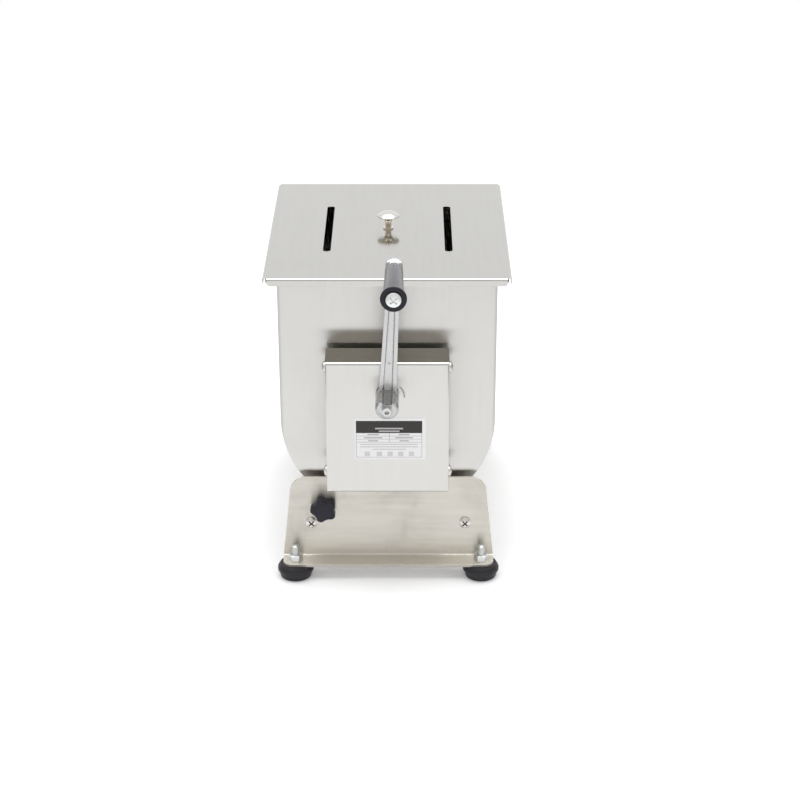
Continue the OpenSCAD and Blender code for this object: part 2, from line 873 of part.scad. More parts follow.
// Lid
// One lip along X with the fold that joins it to the lid, at the edge towards -Y
module lid_lip_strip(width, edge) {
  strip = width - 2 * lip_relief;
  drop = lid_lip - lid_fold_r;
  translate([strip / 2, -edge + lid_fold_r, lid_h - lid_fold_r]) rotate([90, 0, -90]) mirror([1, 0, 0]) {
    mirror([0, 1, 0]) linear_extrude(height = strip) fold_section(lid_fold_r, lid_fold_r - lid_t);
  }
  translate([0, -edge + lid_t, lid_h - lid_lip]) rotate([90, 0, 0]) linear_extrude(height = lid_t) {
    translate([-strip / 2, lip_r]) square([strip, drop - lip_r]);
    translate([-strip / 2 + lip_r, 0]) square([strip - 2 * lip_r, drop]);
    intersection() {
      for (x = [-1, 1]) translate([x * (strip / 2 - lip_r), lip_r]) circle(r = lip_r);
      translate([-strip / 2, 0]) square([strip, drop]);
    }
  }
}

module lid() {
  color("gainsboro") translate([0, tub_y, 0]) difference() {
    union() {
      translate([0, 0, rim_h]) linear_extrude(height = lid_t) {
        square([lid_w - 2 * lid_fold_r, lid_len - 2 * lid_fold_r], center = true);
      }
      for (turn = [0, 180]) rotate([0, 0, turn]) lid_lip_strip(lid_w, lid_len / 2);
      for (turn = [90, 270]) rotate([0, 0, turn]) lid_lip_strip(lid_len, lid_w / 2);
    }
    for (x = [-1, 1]) translate([x * slot_pitch / 2, 0, rim_h - over]) {
      linear_extrude(height = lid_t + 2 * over) {
        square([slot_w, slot_len - slot_w], center = true);
        for (y = [-1, 1]) translate([0, y * (slot_len - slot_w) / 2]) circle(d = slot_w);
      }
    }
    translate([0, 0, rim_h - over]) cylinder(d = knob_stud_d + screw_play, h = lid_t + 2 * over);
  }
}

// A mushroom knob whose thin neck flares into its cap, with its threaded stud
module lid_knob() {
  edge_r = knob_edge / 2;
  rim_at = knob_d / 2 - edge_r;
  cap_low = knob_h - knob_dome - knob_edge;
  neck_r = knob_neck_d / 2;
  flare_r = min(rim_at - neck_r, cap_low - knob_washer_t);
  crown_r = (rim_at * rim_at + knob_dome * knob_dome) / (2 * knob_dome);
  color("silver") translate([0, tub_y, lid_h]) {
    rotate_extrude() {
      difference() {
        translate([0, knob_washer_t]) square([neck_r + flare_r, cap_low + edge_r - knob_washer_t]);
        translate([neck_r + flare_r, cap_low - flare_r]) circle(r = flare_r);
        translate([neck_r, 0]) square([2 * flare_r, cap_low - flare_r]);
      }
      translate([0, cap_low]) square([rim_at, knob_edge]);
      translate([rim_at, cap_low + edge_r]) circle(r = edge_r);
      intersection() {
        translate([0, knob_h - crown_r]) circle(r = crown_r);
        translate([0, cap_low + edge_r]) square([rim_at, edge_r + knob_dome]);
      }
    }
    translate([0, 0, -lid_t - knob_nut_h - over]) {
      cylinder(d = knob_stud_d, h = lid_t + knob_nut_h + over + knob_washer_t);
    }
  }
}

module lid_knob_washer() {
  color("silver") translate([0, tub_y, lid_h]) difference() {
    cylinder(d = knob_washer_d, h = knob_washer_t);
    translate([0, 0, -over]) cylinder(d = knob_stud_d + 2 * seat_gap, h = knob_washer_t + 2 * over);
  }
}

module lid_knob_nut() {
  color("silver") translate([0, tub_y, rim_h - knob_nut_h]) {
    hex_nut(nut_wide * knob_stud_d, knob_nut_h, knob_stud_d + 2 * seat_gap);
  }
}

// Gearbox
// A hat-shaped strap over the gears that carries the outer bearings
module bearing_bridge() {
  foot_end = leg_x + bridge_t + tab_w;
  color("darkgray") at_front() difference() {
    translate([0, 0, axis_h - bridge_end]) {
      linear_extrude(height = crank_h - axis_h + 2 * bridge_end) {
        translate([-leg_x - bridge_t, bridge_back]) square([2 * (leg_x + bridge_t), bridge_t]);
        for (side = [0, 1]) mirror([side, 0]) {
          translate([leg_x, out_face]) square([bridge_t, bridge_front - out_face]);
          translate([leg_x, out_face]) square([foot_end - leg_x, bridge_t]);
        }
      }
    }
    on_crank() bar(crank_seat_d, bridge_back - over, bridge_front + over);
    on_axis() bar(drive_seat_d, bridge_back - over, bridge_front + over);
    at_tab_screws() bar(tab_screw_d + screw_play, out_face - over, out_face + bridge_t + over);
  }
}

module bridge_screws() {
  color("silver") at_front() at_tab_screws() translate([0, out_face + bridge_t, 0]) rotate([-90, 0, 0]) {
    pan_screw(tab_screw_d, head_wide * tab_screw_d, head_tall * tab_screw_d, bridge_t + plate_t);
  }
}

module crank_rear_bush() {
  flange_to = out_face + bush_flange_t;
  color("peru") at_front() on_crank() {
    flanged_bush(crank_shaft_d + 2 * run_gap, bush_wall, bush_flange, flange_to, out_face, -end_gap);
  }
}

module crank_front_bush() {
  color("peru") at_front() on_crank() {
    flanged_bush(crank_shaft_d + 2 * run_gap, bush_wall, bush_flange, bush_in, bridge_back, bush_out);
  }
}

module drive_bush() {
  color("peru") at_front() on_axis() {
    flanged_bush(journal_d + 2 * run_gap, bush_wall, bush_flange, bush_in, bridge_back, bush_out);
  }
}

// The cover's block with folds round its front, drawn in by an inset, open at the back
module cover_block(inset, back) {
  w = cover_w - 2 * inset;
  low = cover_low + inset;
  high = cover_high - inset;
  front = cover_front - inset;
  r = cover_r - inset;
  corner = cover_corner - inset;
  intersection() {
    translate([0, 0, low]) linear_extrude(height = high - low) {
      translate([-w / 2, back]) square([w, front - r - back]);
      translate([-w / 2 + r, back]) square([w - 2 * r, front - back]);
      for (x = [-1, 1]) translate([x * (w / 2 - r), front - r]) circle(r = r);
    }
    translate([-w / 2, 0, 0]) rotate([90, 0, 90]) linear_extrude(height = w) {
      translate([back, low]) square([front - r - back, high - low]);
      translate([back, low + r]) square([front - back, high - low - 2 * r]);
      for (z = [low + r, high - r]) translate([front - r, z]) circle(r = r);
    }
    slab(back, front) {
      translate([-w / 2, low + corner]) square([w, high - low - corner]);
      translate([-w / 2 + corner, low]) square([w - 2 * corner, high - low]);
      for (x = [-1, 1]) translate([x * (w / 2 - corner), low + corner]) circle(r = corner);
    }
  }
}

module gearbox_cover() {
  inner_w = cover_w - 2 * cover_t;
  color("gainsboro") at_front() difference() {
    cover_block(0, 0);
    cover_block(cover_t, -over);
    translate([-inner_w / 2, -over, cover_low - over]) {
      cube([inner_w, out_face + cover_fit + over, cover_corner + over]);
    }
    on_crank() bar(cover_hole_d, cover_front - cover_t - over, cover_front + over);
    at_cover_screws() rotate([0, 90, 0]) {
      cylinder(d = screw_d + screw_play, h = cover_w + 2 * over, center = true);
    }
  }
}

module cover_screws() {
  reach = cover_t + cover_fit + plate_t + weld_nut_h;
  color("silver") at_front() both_sides() at_cover_screws() translate([cover_w / 2, 0, 0]) {
    rotate([0, 90, 0]) pan_screw(screw_d, head_d, head_h, reach);
  }
}

module cover_weld_nuts() {
  color("silver") at_front() both_sides() at_cover_screws() {
    translate([tower_w / 2 - plate_t - weld_nut_h, 0, 0]) rotate([0, 90, 0]) {
      hex_nut(weld_nut_af, weld_nut_h, screw_d + 2 * seat_gap);
    }
  }
}

// Gears
// Involute function of an angle in degrees, as an angle in degrees
function involute(a) = tan(a) * 180 / PI - a;

// Half the angle of a tooth at a radius, from the base circle outwards
function half_tooth(teeth, r) =
  let (
    pitch_r = gear_module * teeth / 2,
    base_r = pitch_r * cos(pressure_angle),
    at = acos(min(1, base_r / max(r, base_r)))
  )
  90 / teeth + involute(pressure_angle) - involute(at) - backlash / pitch_r * 180 / PI;

function polar(r, a) = [r * cos(a), r * sin(a)];

// Outline of a spur gear, one tooth after the other, with a tooth on +X
module spur_outline(teeth) {
  pitch_r = gear_module * teeth / 2;
  base_r = pitch_r * cos(pressure_angle);
  root_r = pitch_r - dedendum * gear_module;
  tip_r = pitch_r + gear_module;
  low_r = max(root_r, base_r);
  flank = concat(
    root_r < base_r ? [root_r] : [],
    [for (i = [0:flank_steps]) low_r + (tip_r - low_r) * i / flank_steps]
  );
  last = len(flank) - 1;
  polygon([
    for (tooth = [0:teeth - 1])
      for (i = [0:2 * last + 1])
        let (r = i <= last ? flank[i] : flank[2 * last + 1 - i])
        polar(r, 360 * tooth / teeth + (i <= last ? -1 : 1) * half_tooth(teeth, r))
  ]);
}

// A key along Y on the +Z side of a shaft, grown by a clearance
module shaft_key(shaft_d, size, from, to, play) {
  translate([-size / 2 - play, from - play, shaft_d / 2 - key_sunk * size - play]) {
    cube([size + 2 * play, to - from + 2 * play, size + 2 * play]);
  }
}

// The paddle's gear: toothed rim, recessed web with holes, and a hub on either side
module drive_gear() {
  web_r = gear_pitch_r - dedendum * gear_module - gear_rim;
  hole_at = (web_r + gear_hub_d / 2) / 2;
  color("slategray") at_front() on_axis() difference() {
    union() {
      slab(gear_back, gear_front) rotate(90) spur_outline(gear_teeth);
      bar(gear_hub_d, trunnion_end + end_gap, bush_in - end_gap);
    }
    sleeve(2 * web_r, gear_hub_d, gear_back - over, gear_back + gear_recess);
    sleeve(2 * web_r, gear_hub_d, gear_front - gear_recess, gear_front + over);
    for (i = [0:web_holes - 1]) rotate([0, 360 * i / web_holes, 0]) translate([hole_at, 0, 0]) {
      bar(web_hole_d, gear_back, gear_front);
    }
    bar(drive_shaft_d + 2 * seat_gap, trunnion_end, bush_in);
    shaft_key(drive_shaft_d, gear_key_w, trunnion_end - over, bush_in + over, seat_gap);
  }
}

module gear_key() {
  color("silver") at_front() on_axis() {
    shaft_key(drive_shaft_d, gear_key_w, gear_back, gear_front, 0);
  }
}

module drive_shaft() {
  color("silver") at_front() on_axis() difference() {
    union() {
      bar(drive_shaft_d, shaft_in, bush_in - end_gap);
      bar(journal_d, shaft_in, journal_end);
    }
    shaft_key(drive_shaft_d, gear_key_w, gear_back, gear_front, seat_gap);
    ring_groove(journal_d, bush_out + end_gap);
    cross_hole();
  }
}

module drive_ring() {
  color("dimgray") at_front() on_axis() retaining_ring(journal_d, bush_out + end_gap);
}

// The crank's pinion, with a gap between its teeth towards the gear
module pinion_gear() {
  hub_from = out_face + bush_flange_t + end_gap;
  hub_to = bush_in - end_gap;
  half_teeth_turned = pinion_teeth % 2 == 0 ? 1 : 2;
  color("slategray") at_front() on_crank() difference() {
    union() {
      slab(gear_back - end_gap, gear_front + end_gap) {
        rotate(90 + 180 * half_teeth_turned / pinion_teeth) spur_outline(pinion_teeth);
      }
      bar(pinion_hub_d, hub_from, hub_to);
    }
    bar(crank_shaft_d + 2 * seat_gap, hub_from - over, hub_to + over);
    shaft_key(crank_shaft_d, pinion_key, hub_from - over, hub_to + over, seat_gap);
  }
}

module pinion_key() {
  color("silver") at_front() on_crank() {
    shaft_key(crank_shaft_d, pinion_key, gear_back, gear_front, 0);
  }
}

// Paddle
// Hole for a cross pin through a shaft and the tube
module cross_hole() {
  translate([0, pin_at, 0]) cylinder(d = pin_d + 2 * seat_gap, h = 2 * tube_d, center = true);
}

module paddle_tube() {
  color("lightgray") difference() {
    on_axis() sleeve(tube_d, drive_shaft_d + 2 * seat_gap, front_y - tube_end, rear_y + tube_end);
    at_front() on_axis() cross_hole();
    at_rear() on_axis() cross_hole();
  }
}

// A spatula-shaped blade along +X, twisted about its own length and cut to the tube
module mixing_blade(number) {
  side = number % 2 == 0 ? 180 : 0;
  neck_end = blade_tip - blade_len - blade_taper;
  color("lightgray") translate([0, tub_y + (number - (blades + 1) / 2) * blade_step, axis_h]) difference() {
    rotate([0, side, 0]) rotate([blade_twist, 0, 0]) {
      translate([0, 0, -blade_t / 2]) linear_extrude(height = blade_t) {
        polygon([
          [0, -blade_neck_w / 2], [neck_end, -blade_neck_w / 2],
          [neck_end + blade_taper, -blade_w / 2], [blade_tip - blade_r, -blade_w / 2],
          [blade_tip - blade_r, blade_w / 2], [neck_end + blade_taper, blade_w / 2],
          [neck_end, blade_neck_w / 2], [0, blade_neck_w / 2]
        ]);
        translate([blade_tip - blade_len, -blade_w / 2 + blade_r]) {
          square([blade_len, blade_w - 2 * blade_r]);
        }
        for (y = [-1, 1]) translate([blade_tip - blade_r, y * (blade_w / 2 - blade_r)]) circle(r = blade_r);
      }
    }
    bar(tube_d + 2 * seat_gap, -blade_w, blade_w);
  }
}

module mixing_blade_1() {
  mixing_blade(1);
}

module mixing_blade_2() {
  mixing_blade(2);
}

module mixing_blade_3() {
  mixing_blade(3);
}

module mixing_blade_4() {
  mixing_blade(4);
}

// The stub on which the back of the paddle turns, drawn out by its head
module rear_axle() {
  head_at = trunnion_end + end_gap;
  color("silver") at_rear() on_axis() difference() {
    union() {
      bar(drive_shaft_d, shaft_in, head_at);
      bar(axle_head_d, head_at, head_at + axle_head_t);
    }
    cross_hole();
  }
}

module cross_pin() {
  on_axis() translate([0, pin_at, 0]) cylinder(d = pin_d, h = tube_d, center = true);
}

module cross_pins() {
  color("silver") at_front() cross_pin();
  color("silver") at_rear() cross_pin();
}

// Crank
// The flat on the end of the crank shaft, as a block to cut away
module shaft_flat_cut(play) {
  flat_from = cover_front + hub_gap / 2;
  translate([-crank_shaft_d, flat_from, crank_shaft_d / 2 - shaft_flat + play]) {
    cube([2 * crank_shaft_d, hub_front - flat_from + over, crank_shaft_d]);
  }
}

module crank_shaft() {
  end = hub_front - shaft_short;
  color("silver") at_front() on_crank() difference() {
    bar(crank_shaft_d, crank_tail, end);
    shaft_key(crank_shaft_d, pinion_key, gear_back, gear_front, seat_gap);
    ring_groove(crank_shaft_d, crank_ring_at);
    rotate([0, crank_lean, 0]) shaft_flat_cut(0);
    bar(crank_screw_d + 2 * seat_gap, end - thread_len - over, end + over);
  }
}

module crank_ring() {
  color("dimgray") at_front() on_crank() retaining_ring(crank_shaft_d, crank_ring_at);
}

// A bar that tapers from the hub to the boss
module arm_outline() {
  low = arm_hub_w / 2;
  high = arm_tip_w / 2;
  polygon([[-low, 0], [low, 0], [high, crank_r], [-high, crank_r]]);
}

// All that lies inside the sloped wall along one border of the arm's panel
module panel_side() {
  lean = atan((arm_hub_w - arm_tip_w) / 2 / crank_r);
  rise = arm_slope * over / arm_recess;
  translate([arm_hub_w / 2 - arm_border, 0, 0]) rotate([0, -lean, 0]) linear_extrude(height = crank_r) {
    polygon([[-arm_hub_w, -arm_recess], [-arm_slope, -arm_recess], [rise, over], [-arm_hub_w, over]]);
  }
}

// The panel sunk into a face of the arm at Y = 0, from the hub to a sloped end before the boss
module arm_panel() {
  end = crank_r - boss_d / 2 - arm_border;
  rise = arm_slope * over / arm_recess;
  intersection() {
    panel_side();
    mirror([1, 0, 0]) panel_side();
    translate([-arm_hub_w, 0, 0]) rotate([90, 0, 90]) linear_extrude(height = 2 * arm_hub_w) {
      polygon([[-arm_recess, over], [over, over], [over, end + rise], [-arm_recess, end - arm_slope]]);
    }
  }
}

// The arm with its boss, a panel in each face and a small pit in the front one
module arm_bar() {
  pit_from = arm_front - arm_recess - arm_pit_d / 4;
  difference() {
    slab(arm_back, arm_front) {
      arm_outline();
      translate([-boss_d / 2, crank_r]) square([boss_d, arm_over]);
      for (end = [0, arm_over]) translate([0, crank_r + end]) circle(d = boss_d);
    }
    translate([0, arm_front, 0]) arm_panel();
    translate([0, arm_back, 0]) mirror([0, 1, 0]) arm_panel();
    translate([0, 0, arm_pit_at]) bar(arm_pit_d, pit_from, arm_front);
  }
}

// The hub: a round-edged bar whose top slants from the arm to the front and carries the panel on
module crank_hub() {
  slant = atan((hub_d / 2 - hub_face_top) / (hub_front - arm_front));
  difference() {
    translate([0, hub_back, 0]) rotate([-90, 0, 0]) rotate_extrude() {
      square([hub_d / 2, hub_len - hub_edge_r]);
      square([hub_d / 2 - hub_edge_r, hub_len]);
      translate([hub_d / 2 - hub_edge_r, hub_len - hub_edge_r]) circle(r = hub_edge_r);
    }
    translate([0, arm_front, hub_d / 2]) rotate([-slant, 0, 0]) {
      translate([-hub_d, 0, 0]) cube([2 * hub_d, hub_len, hub_d]);
    }
    translate([0, arm_front, hub_d / 2]) rotate([90 - slant, 0, 0]) translate([0, 0, arm_recess]) {
      mirror([0, 0, 1]) intersection() {
        panel_side();
        mirror([1, 0, 0]) panel_side();
      }
    }
  }
}

module crank_arm() {
  bore_end = hub_front - shaft_short + end_gap;
  color("lightsteelblue") at_front() on_crank() rotate([0, crank_lean, 0]) difference() {
    union() {
      crank_hub();
      arm_bar();
    }
    difference() {
      bar(crank_shaft_d + 2 * seat_gap, hub_back - over, bore_end);
      shaft_flat_cut(seat_gap);
    }
    bar(crank_screw_d + screw_play, bore_end - over, hub_front + over);
    translate([0, 0, crank_r]) bar(grip_bolt_d + 2 * seat_gap, arm_back - over, arm_front + over);
  }
}

module crank_washer() {
  color("silver") at_front() on_crank() {
    sleeve(crank_washer_d, crank_screw_d + 2 * seat_gap, hub_front, hub_front + crank_washer_t);
  }
}

module crank_screw() {
  seat = hub_front + crank_washer_t;
  socket_d = crank_head_d / 2 / cos(30);
  color("silver") at_front() on_crank() difference() {
    union() {
      bar(crank_screw_d, hub_front - shaft_short - thread_len, seat + over);
      bar(crank_head_d, seat, seat + crank_head_h);
    }
    translate([0, seat + crank_head_h / 2, 0]) rotate([-90, 0, 0]) {
      cylinder(d = socket_d, h = crank_head_h, $fn = 6);
    }
  }
}

// Grip
module grip_collar() {
  color("silver") at_front() on_grip() {
    sleeve(grip_collar_d, grip_bolt_d + 2 * seat_gap, arm_front, arm_front + grip_collar_len);
  }
}

module grip_bolt() {
  color("silver") at_front() on_grip() union() {
    bar(grip_bolt_d, arm_back, grip_head_back + over);
    translate([0, grip_head_back, 0]) rotate([-90, 0, 0]) pan_head(grip_head_d, grip_head_h);
  }
}

// A turned handle: a slim taper that flares into a round-edged disc
module grip() {
  disc_at = grip_len - grip_disc_t;
  edge_r = grip_disc_t / 2;
  color("dimgray") at_front() on_grip() difference() {
    translate([0, grip_back, 0]) rotate([-90, 0, 0]) rotate_extrude() {
      polygon([
        [0, 0], [grip_d / 2 - grip_chamfer, 0], [grip_d / 2, grip_chamfer],
        [grip_wide_d / 2, disc_at - grip_flare],
        [grip_disc_d / 2 - edge_r, disc_at], [grip_disc_d / 2 - edge_r, grip_len], [0, grip_len]
      ]);
      translate([grip_disc_d / 2 - edge_r, disc_at + edge_r]) circle(r = edge_r);
    }
    bar(grip_bolt_d + 2 * run_gap, grip_back - over, grip_front + over);
    bar(grip_head_d + 2 * end_gap, grip_front - grip_seat, grip_front + over);
  }
}

// Tub lock
module lock_weld_nut() {
  color("silver") at_front() on_lock() translate([0, -lock_nut_h, 0]) rotate([-90, 0, 0]) {
    hex_nut(nut_wide * lock_d, lock_nut_h, lock_d + 2 * run_gap);
  }
}

module lock_washer() {
  color("silver") at_front() on_lock() {
    sleeve(lock_washer_d, lock_d + 2 * run_gap, out_face, out_face + lock_washer_t);
  }
}

module lock_screw() {
  color("silver") at_front() on_lock() bar(lock_d, wall_face + lug_t + end_gap, star_back + lock_grip);
}

// Outline of the star knob: round lobes, one towards -X, and scallops that run smoothly into them
module star_outline() {
  half_step = 180 / lobes;
  lobe_r = lobe_d / 2;
  lobe_at = star_d / 2 - lobe_r;
  valley_r = star_d / 2 - scallop_depth;
  reach = lobe_at * cos(half_step);
  squares = lobe_r ^ 2 - valley_r ^ 2 - lobe_at ^ 2;
  scallop_r = (squares + 2 * valley_r * reach) / (2 * (valley_r - reach - lobe_r));
  scallop_at = valley_r + scallop_r;
  to_scallop = scallop_at * [cos(half_step), sin(half_step)] - [lobe_at, 0];
  touch_r = norm([lobe_at, 0] + lobe_r * to_scallop / norm(to_scallop));
  difference() {
    circle(r = touch_r);
    for (i = [0:lobes - 1]) rotate(2 * half_step * i) translate([scallop_at, 0]) circle(r = scallop_r);
  }
  for (i = [0:lobes - 1]) rotate(2 * half_step * (i + 0.5)) translate([lobe_at, 0]) circle(r = lobe_r);
}

module star_knob() {
  color("dimgray") at_front() on_lock() difference() {
    union() {
      bar(neck_d, star_back - neck_len, star_back + over);
      intersection() {
        slab(star_back, star_back + star_t) star_outline();
        translate([0, star_back + star_t - star_crown_r, 0]) sphere(r = star_crown_r);
      }
    }
    bar(lock_d + 2 * seat_gap, star_back - neck_len - over, star_back + lock_grip);
  }
}

front_stand();
rear_stand();
tie_rods();
tie_rod_screws();
rubber_feet();
foot_studs();
foot_nuts();
front_pivot_bush();
rear_pivot_bush();
bearing_bridge();
bridge_screws();
crank_rear_bush();
crank_front_bush();
drive_bush();
gearbox_cover();
cover_screws();
cover_weld_nuts();
lock_weld_nut();
lock_washer();
lock_screw();
star_knob();
tub();
front_trunnion();
rear_trunnion();
front_shaft_bush();
rear_shaft_bush();
lock_lug();
lid();
lid_knob();
lid_knob_washer();
lid_knob_nut();
drive_gear();
gear_key();
drive_shaft();
drive_ring();
paddle_tube();
mixing_blade_1();
mixing_blade_2();
mixing_blade_3();
mixing_blade_4();
rear_axle();
cross_pins();
crank_shaft();
crank_ring();
pinion_gear();
pinion_key();
crank_arm();
crank_washer();
crank_screw();
grip_collar();
grip_bolt();
grip();
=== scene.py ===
"""Finishes, fine pieces and a white studio for the hand-cranked meat mixer, laid out as an add-on."""
import json
import math

import bmesh
import bpy
import numpy as np
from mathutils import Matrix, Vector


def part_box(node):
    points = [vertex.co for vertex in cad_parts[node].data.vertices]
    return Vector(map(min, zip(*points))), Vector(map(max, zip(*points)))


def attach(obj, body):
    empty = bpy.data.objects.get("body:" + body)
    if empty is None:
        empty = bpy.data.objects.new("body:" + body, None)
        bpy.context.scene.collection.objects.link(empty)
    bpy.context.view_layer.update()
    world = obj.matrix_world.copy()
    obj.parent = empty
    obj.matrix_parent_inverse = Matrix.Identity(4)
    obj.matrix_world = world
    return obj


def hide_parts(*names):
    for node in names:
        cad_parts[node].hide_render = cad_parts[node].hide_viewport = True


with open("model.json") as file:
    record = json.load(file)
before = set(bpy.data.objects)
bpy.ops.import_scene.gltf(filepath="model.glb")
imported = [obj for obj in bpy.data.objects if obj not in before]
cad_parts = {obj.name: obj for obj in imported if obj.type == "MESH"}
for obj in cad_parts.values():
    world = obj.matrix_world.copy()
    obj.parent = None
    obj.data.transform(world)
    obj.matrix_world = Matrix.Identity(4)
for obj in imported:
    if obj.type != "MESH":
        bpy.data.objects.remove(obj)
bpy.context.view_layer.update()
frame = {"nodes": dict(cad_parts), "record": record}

bl_info = {
    "name": "Meat mixer dresser",
    "version": (1, 0, 0),
    "blender": (4, 5, 0),
    "location": "3D View > Sidebar > Mixer",
    "description": "Dresses the packed meat mixer and sets it in a white studio",
    "category": "Object",
}

X, Y, Z = (1.0, 0.0, 0.0), (0.0, 1.0, 0.0), (0.0, 0.0, 1.0)
WHITE = (1.0, 1.0, 1.0)
FEET = [tuple(mount["pos_m"]) for mount in frame["record"]["mounts"]]
FEET_OUT = max(place[0] for place in FEET)
JOINTS = frame["record"]["behaviour"]["joints"]
AXES = {joint["name"]: joint["pos_m"] for joint in JOINTS if "pos_m" in joint}


def prop_kind(**traits):
    """A maker of properties that share a unit or a subtype."""
    def prop(name, description, default):
        """A number, or several if the default is a tuple."""
        if isinstance(default, tuple):
            return bpy.props.FloatVectorProperty(
                name=name, description=description, default=default, size=len(default), **traits)
        return bpy.props.FloatProperty(name=name, description=description, default=default, **traits)
    return prop


length_prop = prop_kind(unit="LENGTH")
colour_prop = prop_kind(subtype="COLOR", min=0.0, max=1.0)
share_prop = prop_kind(subtype="FACTOR", min=0.0, max=1.0)
angle_prop = prop_kind(subtype="ANGLE")
lens_prop = prop_kind(unit="CAMERA")
power_prop = prop_kind(unit="POWER")
plain_prop = prop_kind()


class MixerSizes(bpy.types.PropertyGroup):
    """Sizes of the pieces that are made here."""
    tub_half: length_prop("Half tub", "Half of the tub's width at its end walls", 0.111)
    label_width: length_prop("Label width", "Width of the blank label on the cover", 0.0725)
    label_height: length_prop("Label height", "Height of the blank label on the cover", 0.0465)
    label_lift: length_prop("Label place", "Height of the label's lower edge over the cover's", 0.0385)
    label_shift: length_prop("Label shift", "How far the label's middle lies right of the cover's", 0.0028)
    label_film: length_prop("Label film", "Thickness of the label", 0.00025)
    label_corner: length_prop("Label corner", "Radius of the label's corners", 0.0015)
    thread_pitch: length_prop("Thread pitch", "Pitch of the threads on the foot studs", 0.00125)
    thread_depth: length_prop("Thread depth", "Depth of the threads on the foot studs", 0.0007)
    stud_dome: length_prop("Stud end", "Length of the rounded end of a foot stud", 0.0022)
    stud_bore: length_prop("Stud bore", "Bore of the feet and the nuts round their studs", 0.00804)
    foot_base: length_prop("Foot base", "Diameter of a foot where it meets the floor", 0.0325)
    foot_waist: length_prop("Foot waist", "Diameter of a foot under its widest ring", 0.0345)
    waist_height: length_prop("Waist height", "Height of a foot's waist over the floor", 0.0066)
    belt_rise: length_prop("Belt rise", "Height from a foot's waist to its widest ring", 0.001)
    foot_belt: length_prop("Foot belt", "Height of a foot's widest ring", 0.0032)
    foot_top: length_prop("Foot top", "Diameter of a foot under its flange", 0.033)
    foot_rounds: length_prop("Foot rounding", "Radii at a foot's five edges, from the floor up",
                             (0.0018, 0.0004, 0.0007, 0.0016, 0.0005))
    grip_slim: length_prop("Grip, slim end", "Diameter of the grip at the arm", 0.0175)
    grip_wide: length_prop("Grip, wide end", "Diameter of the grip before its end disc", 0.0198)
    grip_flare: length_prop("Grip flare", "Length of the flare into the end disc", 0.007)
    flare_round: length_prop("Flare rounding", "Radius where the grip's flare begins", 0.012)
    grip_disc: length_prop("Grip disc", "Thickness of the grip's end disc", 0.004)
    grip_seat: length_prop("Bolt seat", "Diameter of the seat for the bolt's head", 0.0161)
    bolt_face: length_prop("Bolt face", "Diameter of the bright face of the bolt's head", 0.0148)
    grip_bore: length_prop("Grip bore", "Bore of the grip round its bolt", 0.0081)
    seat_depth: length_prop("Seat depth", "Depth of the seat for the bolt's head", 0.001)
    star_width: length_prop("Star width", "Diameter of the star knob over its lobes", 0.028)
    star_lobe: length_prop("Star lobe", "Diameter of a lobe's tip", 0.0084)
    star_scallop: length_prop("Star scallop", "Depth of the scallops between the lobes", 0.0032)
    star_crown: length_prop("Star crown", "Radius of the star knob's crowned face", 0.052)
    star_neck: length_prop("Star neck", "Diameter of the star knob's neck", 0.014)
    neck_length: length_prop("Neck length", "Length of the star knob's neck", 0.002)
    edge_round: length_prop("Edge rounding", "Radius at the edges of moulded pieces", 0.0013)


class MixerFinishes(bpy.types.PropertyGroup):
    """Colours of the finishes."""
    sheet: colour_prop("Sheet steel", "Brushed stainless sheet", (0.595, 0.589, 0.570))
    stand: colour_prop("Stand steel", "Warmer brushed sheet of the two stands", (0.668, 0.641, 0.584))
    # The brighter inside of the tub is a painted light that lifts the shade in it.
    lining: colour_prop("Tub lining", "Brighter sheet inside the tub", (0.76, 0.755, 0.74))
    machined: colour_prop("Machined steel", "Turned and ground stainless", (0.64, 0.63, 0.615))
    zinc: colour_prop("Zinc", "Bright zinc plate on the fasteners", (0.86, 0.89, 0.885))
    screw: colour_prop("Screws", "Warmer steel of the pan-head screws", (0.78, 0.75, 0.725))
    casting: colour_prop("Casting", "Bright plating on the crank", (0.600, 0.604, 0.602))
    polished: colour_prop("Polished steel", "Polished stainless of the lid's knob", (0.75, 0.735, 0.715))
    # The knob's underside colour is a warm tint with painted shade on the faces that look down.
    knob_under: colour_prop("Knob underside", "Warmer steel under the knob's cap", (0.50, 0.445, 0.36))
    gear: colour_prop("Gear steel", "Oiled steel of the gears", (0.23, 0.235, 0.245))
    bronze: colour_prop("Bronze", "Sintered bronze of the bushes", (0.50, 0.33, 0.16))
    white_plastic: colour_prop("White plastic", "Food-safe plastic of the bushes", (0.80, 0.79, 0.76))
    black_plastic: colour_prop("Black plastic", "Black mouldings", (0.0125, 0.012, 0.019))
    rubber: colour_prop("Rubber", "Rubber of the feet", (0.0215, 0.0195, 0.0225))
    paper: colour_prop("Label paper", "White of the blank label", (0.98, 0.98, 0.98))
    ink: colour_prop("Label ink", "Dark print of the blank label", (0.022, 0.018, 0.017))


